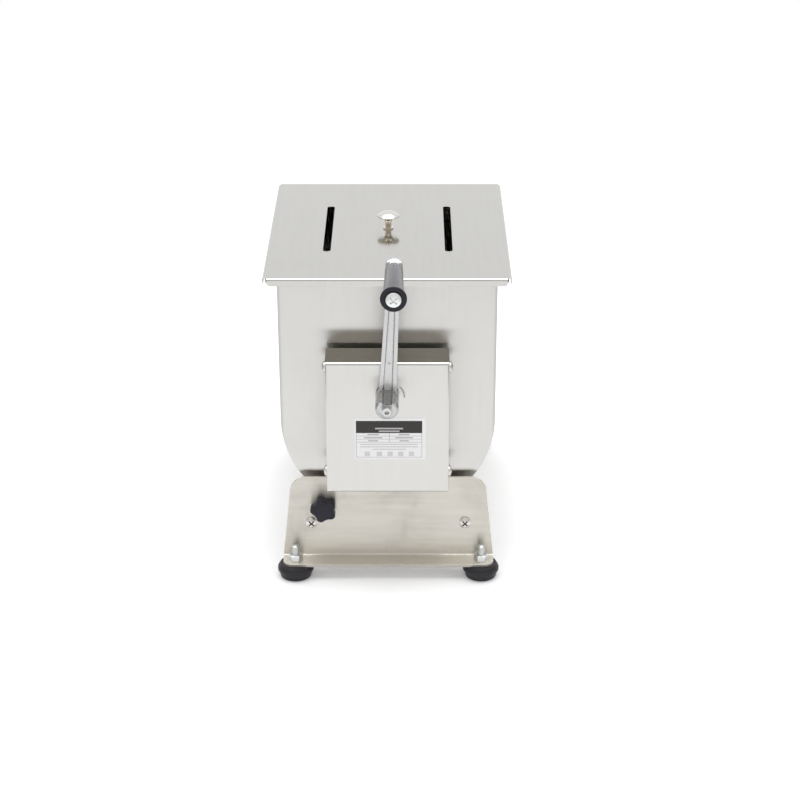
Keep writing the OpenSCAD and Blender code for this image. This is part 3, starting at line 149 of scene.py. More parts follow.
class MixerStudio(bpy.types.PropertyGroup):
    """Camera and studio."""
    floor: colour_prop("Floor", "White of the floor", (0.96, 0.96, 0.965))
    front_wall: colour_prop("Front wall", "Dim wall behind the camera, mirrored", (0.445, 0.405, 0.347))
    dark_spot: colour_prop("Dark spot", "The camera itself, mirrored", (0.09, 0.08, 0.07))
    side_walls: colour_prop("Side walls", "Dim walls at the sides, mirrored", (0.50, 0.49, 0.47))
    fill: share_prop("Fill light", "Strength of the white surroundings", 0.66)
    near_glow: share_prop("Near glow", "The floor's own light towards the eye, beside the feet", 0.167)
    far_glow: share_prop("Far glow", "The floor's own light towards the eye, farther out", 0.36)
    mirror_glow: share_prop("Mirror glow", "The floor's own light in reflections", 0.15)
    glow_from: length_prop("Glow from", "Half of the width and length of the shaded floor", (0.095, 0.170))
    glow_centre: length_prop("Glow centre", "How far behind the origin the shaded floor lies", 0.049)
    glow_fade: length_prop("Glow fade", "Distance over which the shadow fades into white", 0.105)
    floor_half: length_prop("Floor size", "Half of the floor's width and of its length", (0.55, 1.6))
    lamp_place: length_prop("Lamp place", "Place of the overhead softbox", (0.0, -0.08, 2.1))
    lamp_size: length_prop("Lamp size", "Width and length of the overhead softbox", (2.4, 1.3))
    lamp_power: power_prop("Lamp power", "Power of the overhead softbox", 28.5)
    eye: length_prop("Eye", "Place of the camera", (0.0212, -1.94755, 1.0636))
    pitch: angle_prop("Pitch", "Tilt of the camera below the horizon", math.radians(25.0))
    lens: lens_prop("Lens", "Focal length on a 36 mm frame", 89.7)
    shift: plain_prop("Shift", "Sideways shift of the lens, in frame widths", -0.0104)


def settings(context):
    """The three groups of properties."""
    return [getattr(context.scene, key) for key in GROUPS]


# Meshes

MERGE = 1e-7
STRAIGHT = math.radians(89.0)
NUT_CONE = math.radians(30.0)
CONE_START = 0.96


def round_angles(segments):
    """Even angles round a full turn, as one row."""
    return np.linspace(0.0, 2 * np.pi, segments, endpoint=False)[None]


def grid_quads(rows, cols):
    """Quads between neighbouring points of a grid whose last column joins its first."""
    i, j = np.meshgrid(np.arange(rows - 1), np.arange(cols), indexing="ij")
    a = i * cols + j
    b = i * cols + (j + 1) % cols
    return np.stack([a, b, b + cols, a + cols], axis=-1).reshape(-1, 4)


def round_grid(r, h, a):
    """Rows of points round Z and the quads between them: x = r cos a, y = r sin a, z = h."""
    points = np.stack(np.broadcast_arrays(r * np.cos(a), r * np.sin(a), h), axis=-1)
    return points.reshape(-1, 3), grid_quads(*points.shape[:2])


def at_feet(points, quads):
    """The same grid at each of the feet, as one set of points and quads."""
    places = np.array(FEET)[:, None]
    steps = np.arange(len(places))[:, None, None] * len(points)
    return (points + places).reshape(-1, 3), (quads + steps).reshape(-1, 4)


def place_object(name, data, place=(0.0, 0.0, 0.0)):
    """A new object in the scene."""
    item = bpy.data.objects.new(name, data)
    item.location = place
    bpy.context.scene.collection.objects.link(item)
    return item


def make_piece(name, points, quads, material, body, slot, replaced=(), sharp=30.0):
    """A closed mesh from points and quads, merged at its poles, smooth up to an angle, riding on a body."""
    mesh = bpy.data.meshes.new(name)
    mesh.from_pydata(points.tolist(), [], quads.tolist())
    work = bmesh.new()
    work.from_mesh(mesh)
    bmesh.ops.remove_doubles(work, verts=work.verts, dist=MERGE)
    bmesh.ops.dissolve_degenerate(work, edges=work.edges, dist=MERGE)
    bmesh.ops.recalc_face_normals(work, faces=work.faces)
    work.to_mesh(mesh)
    work.free()
    mesh.shade_smooth()
    mesh.set_sharp_from_angle(angle=math.radians(sharp))
    mesh.materials.append(material)
    piece = place_object(name, mesh)
    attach(piece, body)
    if replaced:
        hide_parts(*replaced)


def rounded(corners, steps=6):
    """A profile through (radius, height, rounding) corners: a rounding is an arc tangent to both legs."""
    corners = np.asarray(corners, float)
    path = [corners[0, :2]]
    for before, here, after in zip(corners[:-2], corners[1:-1], corners[2:]):
        corner, radius = here[:2], here[2]
        to_before, to_after = before[:2] - corner, after[:2] - corner
        to_before /= np.linalg.norm(to_before)
        to_after /= np.linalg.norm(to_after)
        half = math.acos(np.clip(to_before @ to_after, -1.0, 1.0)) / 2
        if radius <= 0.0 or half > STRAIGHT:
            path.append(corner)
            continue
        bisector = (to_before + to_after) / np.linalg.norm(to_before + to_after)
        centre = corner + bisector * radius / math.sin(half)
        start = corner + to_before * radius / math.tan(half) - centre
        end = corner + to_after * radius / math.tan(half) - centre
        turn = math.atan2(start[0] * end[1] - start[1] * end[0], start @ end)
        a = np.linspace(0.0, turn, steps + 1)[:, None]
        path.extend(centre + start * np.cos(a) + np.array([-start[1], start[0]]) * np.sin(a))
    path.append(corners[-1, :2])
    return np.array(path)


def turned(profile, segments=96):
    """A profile of (radius, height) turned about Z."""
    return round_grid(profile[:, :1], profile[:, 1:], round_angles(segments))


def towards_front(points, place):
    """Turns +Z to -Y and moves the origin: (x, y, z) becomes place + (x, -z, y)."""
    return np.asarray(place) + np.stack([points[:, 0], -points[:, 2], points[:, 1]], axis=1)


def threaded(radius, low, high, pitch, depth, dome, segments=40, per_turn=8, closing=0.5):
    """A threaded rod about Z. A point at angle a and height h lies at r = radius - depth |2 f - 1|, where f
    is the fraction of h / pitch - a / 2 pi, and under an end that closes in as the square of the way along
    it."""
    h = np.linspace(low, high, int((high - low) / pitch * per_turn) + 1)[:, None]
    a = round_angles(segments)
    turn = (h / pitch - a / (2 * np.pi)) % 1.0
    way = np.clip((h - high + dome) / dome, 0.0, 1.0)
    r = np.minimum(radius - depth * np.abs(2 * turn - 1), radius * (1.0 - closing * way ** 2))
    pole = np.zeros_like(a)
    return round_grid(np.concatenate([pole, r, pole]), np.concatenate([h[:1], h, h[-1:]]), a)


def hex_nut(flat, low, high, bore, segments=96, rows=5):
    """A nut about Z: six flats, r = flat / cos(a from the middle of the flat), cut at both ends by a cone
    of 30 degrees that starts just inside the flats, and a bore."""
    a = round_angles(segments)
    six = flat / np.cos(a % (np.pi / 3) - np.pi / 6)
    inside = CONE_START * flat
    steps = np.linspace(0.0, (flat / math.cos(np.pi / 6) - inside) * math.tan(NUT_CONE), rows)
    h = np.concatenate([low + steps, high - steps[::-1]])[:, None]
    outer = np.minimum(six, inside + np.minimum(h - low, high - h) / math.tan(NUT_CONE))
    hole = np.full_like(a, bore)
    h = np.concatenate([[[low]], h, [[high], [low]]])
    return round_grid(np.concatenate([hole, outer, hole, hole]), h, a)


def star_reach(a, radius, lobe, scallop, lobes=5):
    """How far a star reaches at angle a. Round lobes of the given radius stand at the rim, one at pi, and
    circles outside touch two of them each and come in by the scallop's depth half-way between."""
    step = np.pi / lobes
    at = radius - lobe
    valley = radius - scallop
    side = at * math.cos(step)
    hollow = (lobe ** 2 - valley ** 2 - at ** 2 + 2 * valley * side) / (2 * (valley - side - lobe))
    far = valley + hollow
    off = np.abs((a - np.pi + step) % (2 * step) - step)
    way = np.array([far * math.cos(step) - at, far * math.sin(step)])
    touch = np.array([at, 0.0]) + lobe * way / np.linalg.norm(way)
    on_lobe = at * np.cos(off) + np.sqrt(np.maximum(lobe ** 2 - (at * np.sin(off)) ** 2, 0.0))
    past = step - off
    on_hollow = far * np.cos(past) - np.sqrt(np.maximum(hollow ** 2 - (far * np.sin(past)) ** 2, 0.0))
    return np.where(off < math.atan2(touch[1], touch[0]), on_lobe, on_hollow)


def star_knob(sizes, depth, segments=240, steps=6, rings=8):
    """A star knob about Z: a neck, then the star's outline drawn in by quarter rounds at both edges, and a
    face crowned as a sphere, h = depth - r squared over twice the crown's radius."""
    a = round_angles(segments)
    soft, neck, low = sizes.edge_round, sizes.star_neck / 2, sizes.neck_length
    core = star_reach(a, sizes.star_width / 2, sizes.star_lobe / 2, sizes.star_scallop) - soft
    bend = np.linspace(0.0, np.pi / 2, steps)[:, None]
    face = np.linspace(1.0, 0.0, rings)[1:, None] * core
    stem = np.array([[0.0, 0.0], [neck, 0.0], [neck, low]])
    edge = depth - core ** 2 / (2 * sizes.star_crown)
    # Adding 0 * a spreads one radius or height over all the angles
    r = np.concatenate([stem[:, :1] + 0 * a, core + soft * np.sin(bend), core + soft * np.cos(bend), face])
    h = np.concatenate([stem[:, 1:] + 0 * a, low + soft - soft * np.cos(bend) + 0 * a,
                        edge - soft + soft * np.sin(bend), depth - face ** 2 / (2 * sizes.star_crown)])
    return round_grid(r, h, a)


def rounded_sheet(low, high, radius, steps=8):
    """A thin sheet in X and Z with round corners: rings of its outline at the middle, the front and the
    back."""
    a = round_angles(4 * steps)[0] + np.pi / (4 * steps)
    half = (high - low)[[0, 2]] / 2
    centre = ((high + low) / 2)[[0, 2]]
    ring = np.stack([np.cos(a), np.sin(a)], axis=1)
    ring = centre + np.sign(ring) * (half - radius) + radius * ring
    hub = np.repeat(centre[None], len(a), axis=0)
    rows = [(hub, low[1]), (ring, low[1]), (ring, high[1]), (hub, high[1])]
    points = [np.column_stack([flat[:, 0], np.full(len(a), y), flat[:, 1]]) for flat, y in rows]
    return np.concatenate(points), grid_quads(len(rows), len(a))


# Shader nodes

NOISE_SPAN = (0.3, 0.7)
FALLING = (1.0, 0.0)
LOOKS_THERE = 0.7


class Nodes:
    """Short ways to place and link the nodes of one tree."""

    def __init__(self, tree):
        self.tree = tree

    def put(self, socket, value):
        """Links a value that is a socket, or else sets it; a colour gets its alpha."""
        if isinstance(value, bpy.types.NodeSocket):
            self.tree.links.new(value, socket)
        else:
            socket.default_value = (*value[:3], 1.0) if socket.type == "RGBA" else value

    def add(self, kind, inputs=(), **traits):
        """The outputs of a node with its traits, and its inputs put in by name or number."""
        node = self.tree.nodes.new("ShaderNode" + kind)
        for key, value in traits.items():
            setattr(node, key, value)
        for key, value in dict(inputs).items():
            self.put(node.inputs[key], value)
        return node.outputs

    def group(self, maker, **inputs):
        """A shared group, built by its maker the first time; in names underscores stand for spaces."""
        name = maker.__name__.replace("_", " ").capitalize()
        made = bpy.data.node_groups.get(name) or maker(name)
        inputs = {key.replace("_", " "): value for key, value in inputs.items()}
        return self.add("Group", inputs, node_tree=made)

    def math(self, operation, a, b=0.0, c=0.0):
        """The result of a Math node."""
        return self.add("Math", {0: a, 1: b, 2: c}, operation=operation)[0]

    def times(self, product, *values):
        """The product of several values."""
        for value in values:
            product = self.math("MULTIPLY", product, value)
        return product

    def vector(self, operation, a, b=(0.0, 0.0, 0.0)):
        """The result of a Vector Math node."""
        result = "Value" if operation in ("DOT_PRODUCT", "LENGTH") else "Vector"
        return self.add("VectorMath", {0: a, 1: b}, operation=operation)[result]

    def parts(self, vector):
        """The X, Y and Z of a vector."""
        return self.add("SeparateXYZ", {0: vector})

    def remap(self, value, span, ends=(0.0, 1.0), curve="SMOOTHSTEP"):
        """A value carried from one span to another and held at its ends."""
        limits = {"From Min": span[0], "From Max": span[1], "To Min": ends[0], "To Max": ends[1]}
        return self.add("MapRange", {"Value": value, **limits}, interpolation_type=curve)["Result"]

    def spread(self, noise, low, high):
        """A noise carried from its usual span to another."""
        return self.remap(noise, NOISE_SPAN, (low, high))

    def mix(self, factor, a, b):
        """A colour between two others."""
        return self.add("Mix", {0: factor, 6: a, 7: b}, data_type="RGBA")[2]

    def mix_ways(self, factor, a, b):
        """A direction between two others."""
        return self.add("Mix", {0: factor, 4: a, 5: b}, data_type="VECTOR")[1]

    def noise(self, where, scale, **more):
        """A noise between 0 and 1."""
        return self.add("TexNoise", {"Vector": where, "Scale": scale, **more})["Fac"]

    def here(self):
        """Where a point lies in the part's frame."""
        return self.add("TexCoord")["Object"]

    def from_axis(self, axis):
        """Where a point lies seen from a place."""
        return self.vector("SUBTRACT", self.here(), axis)

    def looks(self, way):
        """How far a face looks one way, from -1 to 1 for a unit vector."""
        return self.vector("DOT_PRODUCT", self.add("TexCoord")["Normal"], way)

    def looks_along(self, way):
        """How far a face looks along a line, either way."""
        return self.math("ABSOLUTE", self.looks(way))

    def brush_way(self, facing, there, elsewhere):
        """One direction on the faces that look along a line, and another elsewhere."""
        on_them = self.math("GREATER_THAN", self.looks_along(facing), LOOKS_THERE)
        return self.mix_ways(on_them, elsewhere, there)

    def to_world(self, way, kind):
        """A direction of the part's frame in the world."""
        traits = {"vector_type": kind, "convert_from": "OBJECT", "convert_to": "WORLD"}
        return self.add("VectorTransform", {0: way}, **traits)[0]


def open_group(name, **inputs):
    """A group with vector and float inputs, named with underscores for spaces: its nodes and its inputs."""
    tree = bpy.data.node_groups.new(name, "ShaderNodeTree")
    for label, default in inputs.items():
        kind = "NodeSocketVector" if isinstance(default, tuple) else "NodeSocketFloat"
        socket = tree.interface.new_socket(label.replace("_", " "), in_out="INPUT", socket_type=kind)
        socket.default_value = default
    return Nodes(tree), tree.nodes.new("NodeGroupInput").outputs


def close_group(nodes, **results):
    """Gives a group its outputs, links its results to them and returns its tree."""
    for label, result in results.items():
        kind = "NodeSocketVector" if result.type == "VECTOR" else "NodeSocketFloat"
        nodes.tree.interface.new_socket(label, in_out="OUTPUT", socket_type=kind)
    end = nodes.tree.nodes.new("NodeGroupOutput")
    for label, result in results.items():
        nodes.put(end.inputs[label], result)
    return nodes.tree


def brush_lines(name):
    """Noise drawn out along the scratches, one way on faces that look along Facing, another elsewhere."""
    nodes, start = open_group(name, Facing=Z, Across_there=X, Across_elsewhere=X, Lines=2600.0, Along=14.0)
    across = nodes.brush_way(start["Facing"], start["Across there"], start["Across elsewhere"])
    along = nodes.add("CombineXYZ", {i: start["Along"] for i in range(3)})[0]

    def drawn_out(lines):
        """Noise with many lines across and few along."""
        many = nodes.add("VectorMath", {0: across, "Scale": lines}, operation="SCALE")[0]
        where = nodes.vector("MULTIPLY", nodes.here(), nodes.vector("ADD", many, along))
        return nodes.noise(where, 1.0, Detail=3.0, Roughness=0.6)

    bands = drawn_out(nodes.times(start["Lines"], 0.06))
    return close_group(nodes, Grain=drawn_out(start["Lines"]), Bands=bands)


def softened_edges(name):
    """The normal rounded over a radius, and a mask of where it turns away from the face."""
    nodes, start = open_group(name, Radius=0.0004)
    soft = nodes.add("Bevel", {"Radius": start["Radius"]}, samples=6)[0]
    straight = nodes.vector("DOT_PRODUCT", soft, nodes.add("NewGeometry")["Normal"])
    return close_group(nodes, Normal=soft, Edge=nodes.remap(straight, (0.70, 0.99), FALLING))


def handling_marks(name):
    """Soft patches broken up by finer noise, from 0 on clean metal to 1."""
    nodes, start = open_group(name, Size=0.05)
    scale = nodes.math("DIVIDE", 1.0, start["Size"])
    wide = nodes.noise(nodes.here(), scale, Detail=4.0, Roughness=0.62, Distortion=0.5)
    fine = nodes.noise(nodes.here(), nodes.times(scale, 9.0), Detail=3.0)
    patches = nodes.remap(wide, (0.46, 0.72))
    return close_group(nodes, Mask=nodes.times(patches, nodes.remap(fine, (0.3, 0.6), (0.4, 1.0))))


def fine_skin(name):
    """Two sizes of noise for moulded, cast and plated surfaces."""
    nodes, start = open_group(name, Size=0.0008)
    scale = nodes.math("DIVIDE", 1.0, start["Size"])
    fine = nodes.noise(nodes.here(), scale, Detail=2.0)
    broad = nodes.noise(nodes.here(), nodes.times(scale, 0.04), Detail=3.0)
    return close_group(nodes, Fine=fine, Broad=broad)


def corner_grime(name):
    """Painted shade: how far a point is shut in by its own piece within a reach, from 0 in the open to 1.
    """
    nodes, start = open_group(name, Reach=0.002)
    free = nodes.add("AmbientOcclusion", {"Distance": start["Reach"]}, samples=8, only_local=True)["AO"]
    return close_group(nodes, Mask=nodes.remap(free, (0.42, 0.94), FALLING))


class Finish(Nodes):
    """A material with one Principled BSDF whose plain sockets are set directly, and its nodes."""

    def __init__(self, name, colour, metallic, **plain):
        self.material = bpy.data.materials.new(name)
        self.material.use_nodes = True
        self.material.diffuse_color = (*colour, 1.0)
        super().__init__(self.material.node_tree)
        self.fill(Base_Color=colour, Metallic=metallic, **plain)

    def fill(self, **values):
        """Sets or links the shader's sockets, named with underscores for spaces."""
        sockets = self.tree.nodes["Principled BSDF"].inputs
        for key, value in values.items():
            self.put(sockets[key.replace("_", " ")], value)

    def touch(self, tone, touches):
        """A tone with touches laid on it: each is a mask, what it is about, a share of it and a colour."""
        for mask, about, share, tint in touches:
            tone = self.mix(self.times(mask(self, about), share), tone, tint)
        return tone

    def shade(self, tone, rough, height, strength, depth, normal=None):
        """Links what varies, colour, roughness and a bump over a normal, and returns the material."""
        bump = {"Strength": strength, "Distance": depth, "Height": height}
        if normal is not None:
            bump["Normal"] = normal
        self.fill(Base_Color=tone, Roughness=rough, Normal=self.add("Bump", bump)["Normal"])
        return self.material


def toned(colour, share):
    """A colour times a share, up to white."""
    return tuple(min(1.0, channel * share) for channel in colour)


# Masks of single places, many of them painted light and shade: spans of a normal's share, then lengths in
# metres and a swirl in radians a metre

LEVEL = (0.7, 0.9)
NOT_UP = (0.1, 0.4)
DOWN = (-0.4, -0.1)
FACE_ON = (0.9, 1.0)
TUB_BEND = 0.004
SLIVER = 0.0002
HUB_RIM = (0.0100, 0.0120)
ARM_ROOT = (0.009, 0.0155)
ARM_MIDDLE = (0.003, 0.006)
ARM_TIP = (0.0045, 0.009)
TURNED_RING = 0.00085
PAINTED_SWIRL_TWIST = 650.0
SWIRL_SHARES = (0.04, 0.38)


def level_faces(nodes, way):
    """Painted light on the faces that look one way."""
    return nodes.remap(nodes.looks(way), LEVEL)


def under_faces(nodes, span):
    """Painted shade on the faces that look lower than a span of the normal's height."""
    return nodes.remap(nodes.looks(Z), span, FALLING)


def cut_edges(nodes, height):
    """Painted shade on a sheet under a height: its low edges, which mirror the shadowed floor."""
    return nodes.math("LESS_THAN", nodes.parts(nodes.here())["Z"], height - SLIVER)


def bent_sides(nodes, half):
    """Painted dark reflection along the tub's bent sides, at half of its width."""
    return nodes.remap(nodes.math("ABSOLUTE", nodes.parts(nodes.here())["X"]), (half - TUB_BEND, half))


def inner_faces(nodes, centre):
    """Faces that look towards a point inside, which in the tub take a painted light."""
    return nodes.math("LESS_THAN", nodes.looks(nodes.from_axis(centre)), 0.0)


def round_axis(nodes, axis):
    """Distance from an axis along Y, and the angle round it from +X towards +Z."""
    off = nodes.parts(nodes.from_axis(axis))
    flat = nodes.add("CombineXYZ", {0: off["X"], 1: off["Z"]})[0]
    return nodes.vector("LENGTH", flat), nodes.math("ARCTAN2", off["Z"], off["X"])


def past_rim(nodes, rim):
    """Painted shadow on what lies farther from an axis along Y than a radius."""
    axis, radius = rim
    return nodes.remap(round_axis(nodes, axis)[0], (radius - SLIVER, radius + SLIVER))


def rub_arc(nodes, axis, radius=0.0171, drift=0.0026, width=0.0017, start=-0.22, end=0.68, fade=0.12):
    """A thin worn arc round an axis, strongest at its middle and broken by noise."""
    distance, angle = round_axis(nodes, axis)
    off = nodes.math("SUBTRACT", nodes.math("MULTIPLY_ADD", angle, drift, distance), radius)
    ring = nodes.remap(nodes.math("ABSOLUTE", off), (0.0, width), FALLING)
    broken = nodes.remap(nodes.group(handling_marks, Size=0.004)["Mask"], (0.0, 0.5), (1.0, 0.45))
    return nodes.times(ring, nodes.remap(angle, (start, start + fade)),
                       nodes.remap(angle, (end - fade, end), FALLING), broken)


def face_on(nodes):
    """Faces square to the crank's axis."""
    return nodes.remap(nodes.looks_along(Y), FACE_ON)


def hub_face(nodes, axis):
    """The turned face of the crank's hub, with the distance from its axis and the angle round it."""
    distance, angle = round_axis(nodes, axis)
    return nodes.times(face_on(nodes), nodes.remap(distance, HUB_RIM, FALLING)), distance, angle


def turned_rings(nodes, axis):
    """Fine rings on the hub's face: a sine of the distance from its axis."""
    face, distance, _ = hub_face(nodes, axis)
    return nodes.times(face, nodes.math("SINE", nodes.times(distance, 2 * math.pi / TURNED_RING)))


def turned_swirl(nodes, axis):
    """Painted reflection of a turned face: a swirl with two arms on the hub's face, a sine of twice the
    angle and of the distance.
    """
    face, distance, angle = hub_face(nodes, axis)
    spiral = nodes.math("MULTIPLY_ADD", angle, 2.0, nodes.times(distance, PAINTED_SWIRL_TWIST))
    return nodes.times(face, nodes.remap(nodes.math("SINE", spiral), (-1.0, 1.0), SWIRL_SHARES))


def arm_way(arm):
    """The direction from the crank's axis to the grip's, across Y, and their distance."""
    out = np.array(arm[1]) - np.array(arm[0])
    out[1] = 0.0
    length = np.linalg.norm(out)
    return tuple(out / length), length


def arm_root(nodes, arm):
    """Painted shade on the sloped root of the arm, full along its middle and half beside it."""
    out, _ = arm_way(arm)
    off = nodes.from_axis(arm[0])
    near = nodes.remap(nodes.vector("DOT_PRODUCT", off, out), ARM_ROOT, FALLING)
    beside = nodes.math("ABSOLUTE", nodes.vector("DOT_PRODUCT", off, (out[2], 0.0, -out[0])))
    sloped = nodes.math("SUBTRACT", 1.0, face_on(nodes))
    return nodes.times(near, nodes.remap(beside, ARM_MIDDLE, (1.0, 0.5)), sloped)


def rounded_tip(nodes, normal, arm, bend=0.6):
    """A normal bent outwards past the grip's axis, so that the arm's end looks rounded off."""
    out, length = arm_way(arm)
    along = nodes.vector("DOT_PRODUCT", nodes.from_axis(arm[0]), out)
    past = nodes.remap(along, (length + ARM_TIP[0], length + ARM_TIP[1]), (0.0, bend))
    return nodes.vector("NORMALIZE", nodes.mix_ways(past, normal, nodes.to_world(out, "NORMAL")))


# Finishes

def brushed_sheet(name, colour, facing, there, elsewhere, smooth=0.20, stretch=0.8, marks=0.03,
                  streaks=0.018, touches=()):
    """Brushed stainless sheet: brush lines, soft handling marks, softened edges and a glint drawn out
    across the lines. Across is one way on the faces that look along a line, and another elsewhere."""
    nodes = Finish(name, colour, 1.0, Anisotropic=stretch)
    grain = nodes.group(brush_lines, Facing=facing, Across_there=there, Across_elsewhere=elsewhere)
    mark = nodes.times(nodes.group(handling_marks, Size=0.06)["Mask"], marks)
    edges = nodes.group(softened_edges, Radius=0.0005)
    tone = nodes.mix(nodes.remap(grain["Bands"], (0.35, 0.65)), toned(colour, 1.0 - streaks), colour)
    tone = nodes.touch(nodes.mix(mark, tone, toned(colour, 0.55)), touches)
    rough = nodes.math("ADD", mark, nodes.spread(grain["Grain"], smooth - 0.015, smooth + 0.015))
    nodes.fill(Tangent=nodes.to_world(nodes.brush_way(facing, there, elsewhere), "VECTOR"))
    return nodes.shade(tone, rough, grain["Grain"], strength=0.03, depth=0.00005, normal=edges["Normal"])


def machined_steel(name, colour):
    """Turned stainless: fine lines round Y, light handling marks and brighter edges."""
    nodes = Finish(name, colour, 1.0)
    grain = nodes.group(brush_lines, Facing=Y, Across_there=X, Across_elsewhere=Y, Lines=3600.0,
                        Along=20.0)["Grain"]
    mark = nodes.group(handling_marks, Size=0.03)["Mask"]
    edges = nodes.group(softened_edges, Radius=0.0004)
    tone = nodes.mix(edges["Edge"], nodes.mix(grain, toned(colour, 0.94), colour), toned(colour, 1.12))
    rough = nodes.math("MULTIPLY_ADD", mark, 0.08, nodes.spread(grain, 0.25, 0.31))
    return nodes.shade(tone, rough, grain, strength=0.02, depth=0.00005, normal=edges["Normal"])


def plated(name, colour, smooth, wave, radius=0.0004, reach=0.002, grime=0.95, touches=(), arm=None):
    """Bright plating over a cast or rolled surface: a fine skin, broad waves, softened, brighter edges and
    painted shade in the corners. Arm holds the crank's axis and the grip's: rings are then turned round the
    first, and the end past the second looks rounded off."""
    nodes = Finish(name, colour, 1.0)
    noise = nodes.group(fine_skin, Size=0.0009)
    mark = nodes.group(handling_marks, Size=0.012)["Mask"]
    edges = nodes.group(softened_edges, Radius=radius)
    # Painted shade in the corners that the piece shuts in on itself.
    shut = nodes.times(nodes.group(corner_grime, Reach=reach)["Mask"], grime)
    tone = nodes.mix(noise["Broad"], toned(colour, 0.92), colour)
    tone = nodes.mix(edges["Edge"], tone, toned(colour, 1.12))
    tone = nodes.touch(nodes.mix(shut, tone, toned(colour, 0.03)), touches)
    lines = nodes.spread(noise["Fine"], smooth - 0.02, smooth + 0.04)
    rough = nodes.math("MULTIPLY_ADD", mark, 0.08, lines)
    height = nodes.math("MULTIPLY_ADD", noise["Broad"], wave, noise["Fine"])
    normal = edges["Normal"]
    if arm:
        height = nodes.math("ADD", height, turned_rings(nodes, arm[0]))
        normal = rounded_tip(nodes, normal, arm)
    return nodes.shade(tone, rough, height, strength=0.08, depth=0.0001, normal=normal)


def moulded(name, colour, rough, skin=0.0006, lengthwise=False, gloss=0.0):
    """Black moulding or rubber: a fine skin or lengthwise drag lines, duller patches and, with gloss, a
    polish worn on by hands on all but the faces that look along Y, thinned towards the outline into a
    painted dark outline."""
    nodes = Finish(name, colour, 0.0, IOR=1.45, Specular_IOR_Level=0.4, Coat_Roughness=0.22,
                   Specular_Tint=(0.93, 0.94, 1.0))
    noise = nodes.group(fine_skin, Size=skin)
    mark = nodes.group(handling_marks, Size=0.02)["Mask"]
    height = noise["Fine"]
    if lengthwise:
        height = nodes.group(brush_lines, Facing=Y, Across_there=X, Across_elsewhere=X, Lines=2200.0,
                             Along=10.0)["Grain"]
    if gloss:
        # The coat thins where the surface turns away from the eye: a painted dark outline.
        outline = nodes.remap(nodes.add("LayerWeight")["Facing"], (0.80, 0.93), (1.0, 0.1))
        polish = nodes.remap(nodes.looks_along(Y), (0.15, 0.6), (gloss, 0.0))
        nodes.fill(Coat_Weight=nodes.times(polish, outline))
    tone = nodes.mix(noise["Broad"], toned(colour, 0.8), toned(colour, 1.35))
    dull = nodes.math("MULTIPLY_ADD", mark, 0.12, nodes.spread(noise["Fine"], rough - 0.05, rough + 0.06))
    return nodes.shade(tone, dull, height, strength=0.12, depth=0.0001)


def oiled_gear(name, colour):
    """Oiled gear steel: dark film in patches over brighter, worn edges."""
    nodes = Finish(name, colour, 1.0, Coat_Weight=0.3, Coat_Roughness=0.1)
    noise = nodes.group(fine_skin, Size=0.0012)["Fine"]
    film = nodes.group(handling_marks, Size=0.02)["Mask"]
    edges = nodes.group(softened_edges, Radius=0.0003)
    tone = nodes.mix(edges["Edge"], nodes.mix(film, colour, toned(colour, 0.45)), toned(colour, 2.0))
    rough = nodes.spread(noise, 0.3, 0.46)
    return nodes.shade(tone, rough, noise, strength=0.1, depth=0.0001, normal=edges["Normal"])


def soft_plain(name, colour, metallic, rough):
    """Bronze or white plastic of the bushes: a fine skin with gentle patches."""
    nodes = Finish(name, colour, metallic)
    noise = nodes.group(fine_skin, Size=0.0007)
    edges = nodes.group(softened_edges, Radius=0.0003)
    tone = nodes.mix(noise["Broad"], toned(colour, 0.82), colour)
    dull = nodes.spread(noise["Fine"], rough - 0.06, rough + 0.06)
    return nodes.shade(tone, dull, noise["Fine"], strength=0.1, depth=0.0001, normal=edges["Normal"])


# The label's print lies a little left of the middle, at this share of the width
PRINT_MIDDLE = 0.485


def label_shapes():
    """Rectangles of the blank label's print, left, right, bottom and top in shares of it, with weights: a
    dark band, a framed table of ruled rows with short grey bars, longer bars and a row of plain squares."""
    rule, bar = 0.010, 0.026
    square, square_low, square_top = 0.075, 0.075, 0.185
    upright = rule / 1.5
    left, right, foot, top = 0.021, 0.948, 0.045, 0.9325
    centre = (left + right) / 2
    dark, ruled, grey, pale = 1.0, 0.55, 0.30, 0.28
    rows = np.linspace(0.637, 0.41, 4)
    shapes = [((left, right, rows[0], top), dark)]
    shapes += [((left, right, row, row + rule), ruled) for row in (*rows[1:], foot)]
    shapes += [((at, at + upright, foot, rows[0]), ruled) for at in (left, right - upright)]
    shapes += [((centre, centre + upright, rows[-1], rows[0]), ruled)]
    for start, end in ((0.11, 0.41), (0.55, 0.84)):
        shapes += [((start + inset, end - inset, row + bar, row + 2 * bar), ruled)
                   for row, inset in zip(rows[1:], (0.07, 0.02, 0.08))]
    shapes += [((inset, 2 * PRINT_MIDDLE - inset, row, row + bar), grey)
               for row, inset in ((0.35, 0.08), (0.29, 0.08), (0.23, 0.25))]
    shapes += [((at, at + square, square_low, square_top), pale) for at in (0.14, 0.31, 0.46, 0.61, 0.76)]
    return shapes


